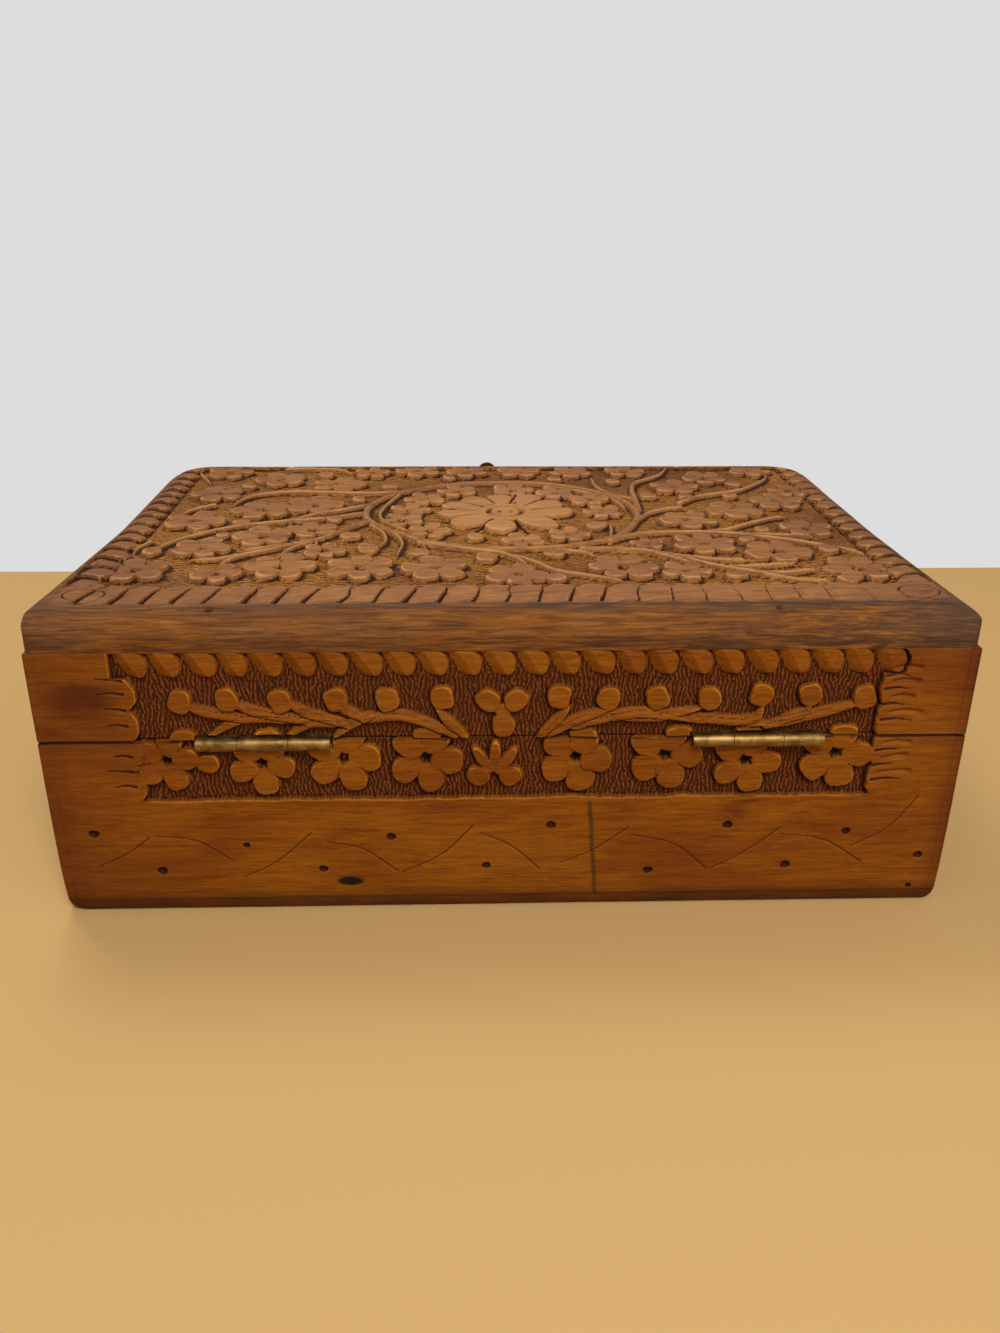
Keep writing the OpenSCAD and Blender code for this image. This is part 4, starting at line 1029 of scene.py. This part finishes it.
def roundPlan(points, halfWide, halfDeep, corners):   # the grid's corners are drawn in to their radii
    for (sx, sy), r in corners.items():
        a = (points[:, 0] * sx - (halfWide - r)) / r
        b = (points[:, 1] * sy - (halfDeep - r)) / r
        corner = (a > 0) & (b > 0)
        a, b = np.clip(a, 0, 1), np.clip(b, 0, 1)
        points[corner, 0] = sx * (halfWide - r + r * a * np.sqrt(1 - b * b / 2))[corner]
        points[corner, 1] = sy * (halfDeep - r + r * b * np.sqrt(1 - a * a / 2))[corner]


def makeBoard():
    c = boardCarving()
    fall = bevelFall(c)
    c.depth = (np.minimum(c.depth, 0) - c.lean) * np.clip(1 - fall / 2.5, 0, 1) - fall
    c.depth -= 0.06 * (1 + c.cloud(30.0, 12.0))
    sinkBrads(c, board["brads"], 1.15, 1.25, 0.5)
    gatherDirtAndShade(c, 0.42, 1.5, 0.6)
    block = makeBlock("carved_lid_board", c, box["tall"] - box["boardLow"], plan=board)
    thin(block, board["faces"])
    standUp(block, "top")
    closeUp(block)
    paintCarving(block, c, "top")
    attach(block, "lid")
    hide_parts("lid_board")
    return block


# finishes

def chiselMarks(f, first, second, pitch, spread):   # strokes whose direction changes from patch to patch
    cell = f.node("TexVoronoi", {"feature": "F1"}, 1, Vector=f.place(), Scale=330.0)
    turn = f.node("SeparateColor", i0=cell) * (2 * spread) - spread
    along = first * turn.cosine() + second * turn.sine()
    wobble = f.noise(f.place(), 520.0, 2.0) * 7.0
    stroke = (along * (2 * math.pi / pitch) + wobble).sine() * 0.5 + 0.5
    return stroke * (0.45 + 0.55 * f.noise(f.place(shift=(2, 2, 2)), 900.0, 1.0).between(0.3, 0.6))


wallTones = {   # red, green and blue as a paint program shows them
    "dark": (100, 48, 1), "middle": (124, 66, 2), "light": (142, 82, 5),
    "thread": (152, 92, 14), "fibre": (86, 36, 4), "pore": (72, 28, 5),
    "redPatch": (102, 44, 5), "palePatch": (138, 82, 14), "shadow": (70, 26, 5),
    "edge": (80, 30, 9), "foot": (50, 21, 8), "smudge": (66, 22, 3), "joint": (30, 11, 3),
    "ink": (38, 34, 14), "knot": (24, 12, 7),
    "strokeLow": (48, 16, 3), "strokeHigh": (116, 60, 20), "dirt": (38, 13, 1), "ridge": (200, 126, 36),
}


def wallWood(name, along, marked=False):
    f = Finish(name, wallTones)
    x, y, z = f.split(f.place())
    wide, deep = abs(x), abs(y)
    grain = f.place(scale=(0.08, 1, 1))
    if along == "y":   # but the ends of the side walls match the back and the front
        beside = f.place(scale=(1, 0.08, 1))
        ends = deep.between(0.0855, 0.0858)
        grain = f.node("Mix", {"data_type": "VECTOR"}, 1, i0=ends, i4=beside, i5=grain)
    streaks = f.noise(grain, 700.0, 6.0, 0.68, 0.7)
    threads = f.noise(grain, 1900.0, 3.0, 0.6)
    pores = f.noise(grain, 3200.0, 2.0, 0.5)
    fibres = f.noise(grain, 1250.0, 1.0, 0.5, 0.3).between(0.55, 0.66)
    patches = f.noise(f.place(scale=(0.5, 1, 1)), 32.0, 3.0, 0.6, 0.4)
    dark = f.noise(f.place(scale=(0.5, 1, 1), shift=(3, 1, 2)), 60.0, 4.0, 0.65, 1.2)
    body = f.ramp(streaks, (0.3, "dark"), (0.5, "middle"), (0.72, "light"))
    body = f.mix(threads.between(0.5, 0.75) * 0.3, body, "thread")
    body = f.mix(patches.between(0.45, 0.7) * 0.55, body, "redPatch")
    body = f.mix((1.0 - patches).between(0.5, 0.7) * 0.4, body, "palePatch")
    body = f.mix(dark.between(0.6, 0.78) * 0.55, body, "shadow")
    upright = deep.between(0.079, 0.0866) * (0.0 if along == "x" else 1.0)
    edge = (wide.between(0.117, 0.1275) + x.between(0.085, 0.125) * 0.7 + upright).clamped()
    body = f.mix(edge * (0.2 + patches) * 0.7, body, "edge")
    body = f.mix(fibres * 0.3, body, "fibre")
    # darker along the foot: painted shade at the rounded low edge, with grime
    body = f.mix((1.0 - z.between(0.0025, 0.008)) * (0.3 + 0.7 * dark), body, "foot")
    smudge = 1.0 - (((x - 0.1135) ** 2.0 * 0.5 + (z - 0.0675) ** 2.0) ** 0.5).between(0.003, 0.0085)
    body = f.mix(smudge * (0.3 + 0.7 * dark.between(0.36, 0.56)) * 0.75, body, "smudge")
    joint = 1.0 - abs(z - 0.0039 + 0.0006 * (patches - 0.5)).between(0.0001, 0.0008)
    outer = wide.between(0.1262, 0.1267) + deep.between(0.0852, 0.0857)
    seam = (1.0 - abs(z - 0.055).between(0.0003, 0.0006)) * outer
    body = f.mix((joint * 0.35 + seam).clamped(), body, "joint")
    body = f.mix(pores.between(0.58, 0.72) * 0.45, body, "pore")
    if marked:   # a knot and an old pencil line down the back
        behind = y.between(0.083, 0.084)
        line = 1.0 - abs(x + 0.0256 - z * 0.085 + 0.0012 * dark).between(0.0001, 0.0011)
        body = f.mix(behind * line * (1.0 - z.between(0.0345, 0.0362)) * (0.25 + 0.9 * pores), body, "ink")
        far = ((x - 0.0448) * 0.42) ** 2.0 + (z - 0.0094) ** 2.0 + 0.000005 * (dark - 0.5)
        body = f.mix(behind * (1.0 - far.between(0.0000014, 0.0000038)), body, "knot")
    carved, dirt = f.read("carved"), f.read("dirt")
    strokes = chiselMarks(f, x if along == "x" else y, z * 0.7, 0.00115, 0.4)
    tooled = f.mix(strokes.between(0.1, 0.85) * (0.55 + 0.9 * patches), "strokeLow", "strokeHigh")
    body = f.mix(carved * 0.88, body, tooled)
    # dirt and painted shade darken the hollows, the cuts and the lower edges of motifs; a painted
    # highlight, partly wear, lightens the ridges and upper rims
    body = f.mix(dirt.between(0.15, 0.8) * 0.92, body, "dirt")
    body = f.mix((-1.0 * dirt).between(0.2, 0.8) * 0.85, body, "ridge")
    rough = (0.55 + 0.2 * patches + 0.2 * carved).clamped()
    f.set(Base_Color=body, Roughness=rough, Specular_IOR_Level=0.12)
    fine = f.bump(streaks + 0.6 * threads + 0.5 * pores, 0.00018, 0.8)
    f.set(Normal=f.bump(strokes * carved, 0.0005, 1.0, under=fine))
    return f.material


boardTones = {
    "dark": (110, 66, 31), "middle": (142, 92, 48), "light": (168, 118, 66),
    "thread": (160, 108, 58), "fibre": (92, 56, 32), "pore": (72, 42, 20),
    "greyPatch": (128, 80, 50), "blotch": (100, 60, 38), "sides": (94, 56, 32),
    "edgeDark": (66, 34, 8), "edgeMiddle": (110, 62, 17), "edgeLight": (142, 88, 30),
    "smoke": (66, 40, 22), "edgePatch": (88, 60, 38), "edgeFibre": (58, 30, 12),
    "scratch": (52, 34, 22), "worn": (62, 42, 30), "scraped": (150, 104, 64),
    "corner": (64, 47, 38), "patina": (54, 42, 34), "rubbed": (190, 136, 80),
    "strokeLow": (74, 38, 12), "ochre": (176, 114, 36), "brown": (128, 76, 28),
    "dirt": (44, 20, 8), "ridge": (196, 142, 88),
}


def boardWood(name):
    f = Finish(name, boardTones)
    x, y, z = f.split(f.place())
    grain = f.place(scale=(0.08, 1, 1))
    streaks = f.noise(grain, 650.0, 6.0, 0.7, 0.9)
    threads = f.noise(grain, 1900.0, 3.0, 0.6)
    pores = f.noise(grain, 3000.0, 2.0, 0.5)
    fibres = f.noise(grain, 1150.0, 1.0, 0.5, 0.3).between(0.54, 0.66)
    patches = f.noise(f.place(shift=(2, 5, 1)), 15.0, 3.0, 0.55)
    blotch = f.noise(f.place(scale=(0.6, 1, 1), shift=(5, 2, 7)), 110.0, 3.0, 0.6, 0.6)
    smoke = f.noise(f.place(scale=(0.09, 1, 1), shift=(7, 1, 4)), 330.0, 6.0, 0.7, 1.0)
    scratch = f.noise(f.place(scale=(1, 1, 9), turn=(0, 0.5, 0)), 110.0, 4.0, 0.65, 0.5)

    top = f.ramp(streaks, (0.3, "dark"), (0.5, "middle"), (0.72, "light"))
    top = f.mix(patches.between(0.4, 0.6) * 0.6, top, "greyPatch")
    top = f.mix(fibres * 0.3, top, "fibre")
    top = f.mix(blotch.between(0.52, 0.68) * 0.5, top, "blotch")
    top = f.mix(abs(x).between(0.05, 0.125) * (0.25 + patches) * 0.55, top, "sides")

    # the rounded border is darker, and scratched low down and towards -X
    edge = f.ramp(streaks, (0.3, "edgeDark"), (0.5, "edgeMiddle"), (0.72, "edgeLight"))
    edge = f.mix(smoke.between(0.5, 0.7) * 0.55, edge, "smoke")
    edge = f.mix(patches.between(0.5, 0.66) * 0.4, edge, "edgePatch")
    edge = f.mix(fibres * 0.5, edge, "edgeFibre")
    low = (1.0 - z.between(0.0835, 0.0872)) * (1.0 - x.between(-0.07, 0.06) * 0.6)
    edge = f.mix(low * scratch.between(0.42, 0.6) * 0.65, edge, "scratch")
    aside = 1.0 - x.between(-0.1, -0.02)
    edge = f.mix(scratch.between(0.48, 0.6) * aside * 0.75, edge, "worn")
    edge = f.mix((1.0 - scratch.between(0.32, 0.42)) * aside * 0.4, edge, "scraped")
    corner = abs(x).between(0.100, 0.126) * y.between(0.05, 0.085) * (1.0 - x.between(0.02, 0.1) * 0.45)
    edge = f.mix(corner * (0.3 + smoke) * 0.85, edge, "corner")

    carved, dirt = f.read("carved"), f.read("dirt")
    inner = (1.0 - abs(y).between(0.0738, 0.0785)) * (1.0 - abs(x).between(0.1205, 0.1235))
    body = f.mix(inner, edge, top)
    rim = y.between(0.0705, 0.0755) * (1.0 - y.between(0.0768, 0.0815))
    patina = rim * (1.0 - x.between(-0.02, 0.09) * 0.5)
    body = f.mix(patina * smoke.between(0.34, 0.55) * 0.9, body, "patina")
    strokes = chiselMarks(f, y, x * 0.5, 0.0014, 0.45)
    ground = f.mix(patches.between(0.42, 0.66), "ochre", "brown")
    tooled = f.mix(strokes.between(0.1, 0.7), "strokeLow", ground)
    body = f.mix(carved * 0.9, body, tooled)
    # a painted glare lightens the rosette in the middle of the lid, off the carved ground
    centre = ((x + 0.0027) ** 2.0 + (y + 0.0141) ** 2.0) ** 0.5
    body = f.mix((1.0 - centre.between(0.012, 0.045)) * (1.0 - carved) * 0.35, body, "rubbed")
    # dirt and painted shade darken the hollows and cuts; a painted highlight, partly wear, lightens the
    # ridges
    body = f.mix(dirt.between(0.1, 0.6) * 0.94, body, "dirt")
    body = f.mix((-1.0 * dirt).between(0.2, 0.7) * 0.6, body, "ridge")
    body = f.mix(threads.between(0.5, 0.75) * 0.22, body, "thread")
    body = f.mix(pores.between(0.58, 0.72) * 0.4, body, "pore")
    f.set(Base_Color=body, Roughness=(0.62 + 0.2 * patches).clamped(), Specular_IOR_Level=0.1)
    fine = f.bump(streaks + 0.6 * threads + 0.5 * pores + scratch * low * 2.0, 0.0002, 0.85)
    f.set(Normal=f.bump(strokes * carved, 0.0005, 1.0, under=fine))
    return f.material


metalTones = {
    "dark": (96, 70, 34), "middle": (136, 104, 56), "light": (166, 132, 76),
    "grime": (64, 44, 22), "tarnish": (36, 27, 17),
    "steel": (70, 58, 50), "rust": (92, 56, 34),
}


def agedBrass(name, shine=1.0):   # 1 is kept bright by use, 0 black with age
    f = Finish(name, metalTones)
    cloud = f.noise(f.place(scale=(260, 260, 260)), 1.0, 4.0, 0.6, 0.6)
    grime = f.noise(f.place(scale=(90, 420, 420)), 1.0, 3.0, 0.6, 1.0)
    body = f.ramp(cloud, (0.3, "dark"), (0.5, "middle"), (0.75, "light"))
    body = f.mix(grime.between(0.5, 0.7) * 0.7, body, "grime")
    body = f.mix(1.0 - shine, body, "tarnish")
    f.set(Base_Color=body, Metallic=0.95, Roughness=(0.3 + 0.3 * cloud).clamped())
    f.set(Normal=f.bump(cloud, 0.00008, 0.5))
    return f.material


def darkSteel(name):
    f = Finish(name, metalTones)
    rust = f.noise(f.place(scale=(700, 700, 700)), 1.0, 3.0, 0.6)
    body = f.mix(rust.between(0.4, 0.65), "steel", "rust")
    f.set(Base_Color=body, Metallic=0.7, Roughness=(0.5 + 0.25 * rust).clamped())
    f.set(Normal=f.bump(rust, 0.00005, 0.5))
    return f.material


# floor, backdrop and lamps

studio = {
    "floor": (188, 151, 97),
    "floorSize": (6, 3),     # metres
    "floorEnd": -0.217,      # where the table's edge shows behind the box
    "backdrop": (221, 221, 221),
    "sky": (0.97, 0.98, 1.0, 1),
    "strength": 0.48,
    "lamps": {   # place, what it is turned to, size and power
        "back": ((0.3, -0.36, 0.95), (0, 0.0, 0.06), 0.4, 4.2),
        "front": ((-0.1, 0.72, 0.88), (0, 0.08, 0.04), 0.3, 7.6),
        "fill": ((-0.6, 1.0, 0.6), (0, 0.15, 0.0), 0.8, 2.6),
    },
}


def plainPale(name, levels, rough):
    f = Finish(name, {})
    soft = f.noise(f.place(scale=(3, 3, 3)), 1.0, 2.0)
    colour = tone(*levels)
    shade = tuple(c * 0.985 for c in colour[:3]) + (1.0,)
    f.set(Base_Color=f.mix(soft, colour, shade), Roughness=rough, Specular_IOR_Level=0.0)
    return f.material


def setStage():
    bpy.ops.mesh.primitive_plane_add(size=1)
    floor = bpy.context.object
    floor.name = "floor"
    wide, deep = studio["floorSize"]
    middle = Matrix.Translation((0, deep / 2 + studio["floorEnd"], 0))
    floor.data.transform(middle @ Matrix.Diagonal((wide, deep, 1, 1)))
    floor.data.materials.append(plainPale("pale_floor", studio["floor"], 0.9))


def setLight():
    world = bpy.data.worlds.new("studio")
    bpy.context.scene.world = world
    world.use_nodes = True
    tree = world.node_tree
    light = tree.nodes["Background"]
    light.inputs["Color"].default_value = studio["sky"]
    light.inputs["Strength"].default_value = studio["strength"]
    behind = tree.nodes.new("ShaderNodeBackground")   # what the camera and the brass see
    behind.inputs["Color"].default_value = tone(*studio["backdrop"])
    path = tree.nodes.new("ShaderNodeLightPath")
    camera, mirrored, through = (Flow(tree, path.outputs["Is " + kind + " Ray"])
                                 for kind in ("Camera", "Glossy", "Transmission"))
    either = tree.nodes.new("ShaderNodeMixShader")
    tree.links.new((camera + mirrored + through).clamped().socket, either.inputs[0])
    tree.links.new(light.outputs[0], either.inputs[1])
    tree.links.new(behind.outputs[0], either.inputs[2])
    tree.links.new(either.outputs[0], tree.nodes["World Output"].inputs["Surface"])
    for name, (at, aim, size, power) in studio["lamps"].items():
        bpy.ops.object.light_add(type="AREA", location=at)
        lamp = bpy.context.object
        lamp.name = name
        lamp.data.size = size
        lamp.data.energy = power
        lamp.rotation_euler = (Vector(aim) - Vector(at)).to_track_quat("-Z", "Y").to_euler()


bpy.context.scene.view_settings.view_transform = "Standard"
setCamera()
setStage()
setLight()
print("camera, floor and light set")

finishes = {
    "wallAcross": wallWood("varnished_wall_wood_across", "x"),
    "wallAlong": wallWood("varnished_wall_wood_along", "y"),
    "wallMarked": wallWood("varnished_wall_wood_marked", "x", True),
    "bottom": wallWood("worn_bottom_wood", "x"),
    "board": boardWood("board_wood_finish"),
    "brass": agedBrass("aged_brass"),
    "hasp": agedBrass("tarnished_hasp_brass", 0.35),
    "steel": darkSteel("dark_steel"),
}


def finishPiece(piece, kind):
    piece.data.materials.clear()
    piece.data.materials.append(finishes[kind])


for name, (side, *_) in walls.items():
    wall = makeWall(name)
    kind = "wallAcross" if side in ("back", "front") else "wallAlong"
    finishPiece(wall, "wallMarked" if name == "base_back_wall" else kind)
    print(name, "carved,", len(wall.data.polygons), "faces")

bottomBoard = makeBottomBoard()
finishPiece(bottomBoard, "bottom")
print("bottom board made,", len(bottomBoard.data.polygons), "faces")

lidBoard = makeBoard()
finishPiece(lidBoard, "board")
print("lid board carved,", len(lidBoard.data.polygons), "faces")

kinds = {"hasp": "hasp", "hinge": "brass", "brads": "steel"}
for name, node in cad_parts.items():   # the others are walls and boards, which are replaced
    finishPiece(node, next((kinds[word] for word in kinds if word in name), "wallAcross"))
print("hinges, hasp and brads finished")
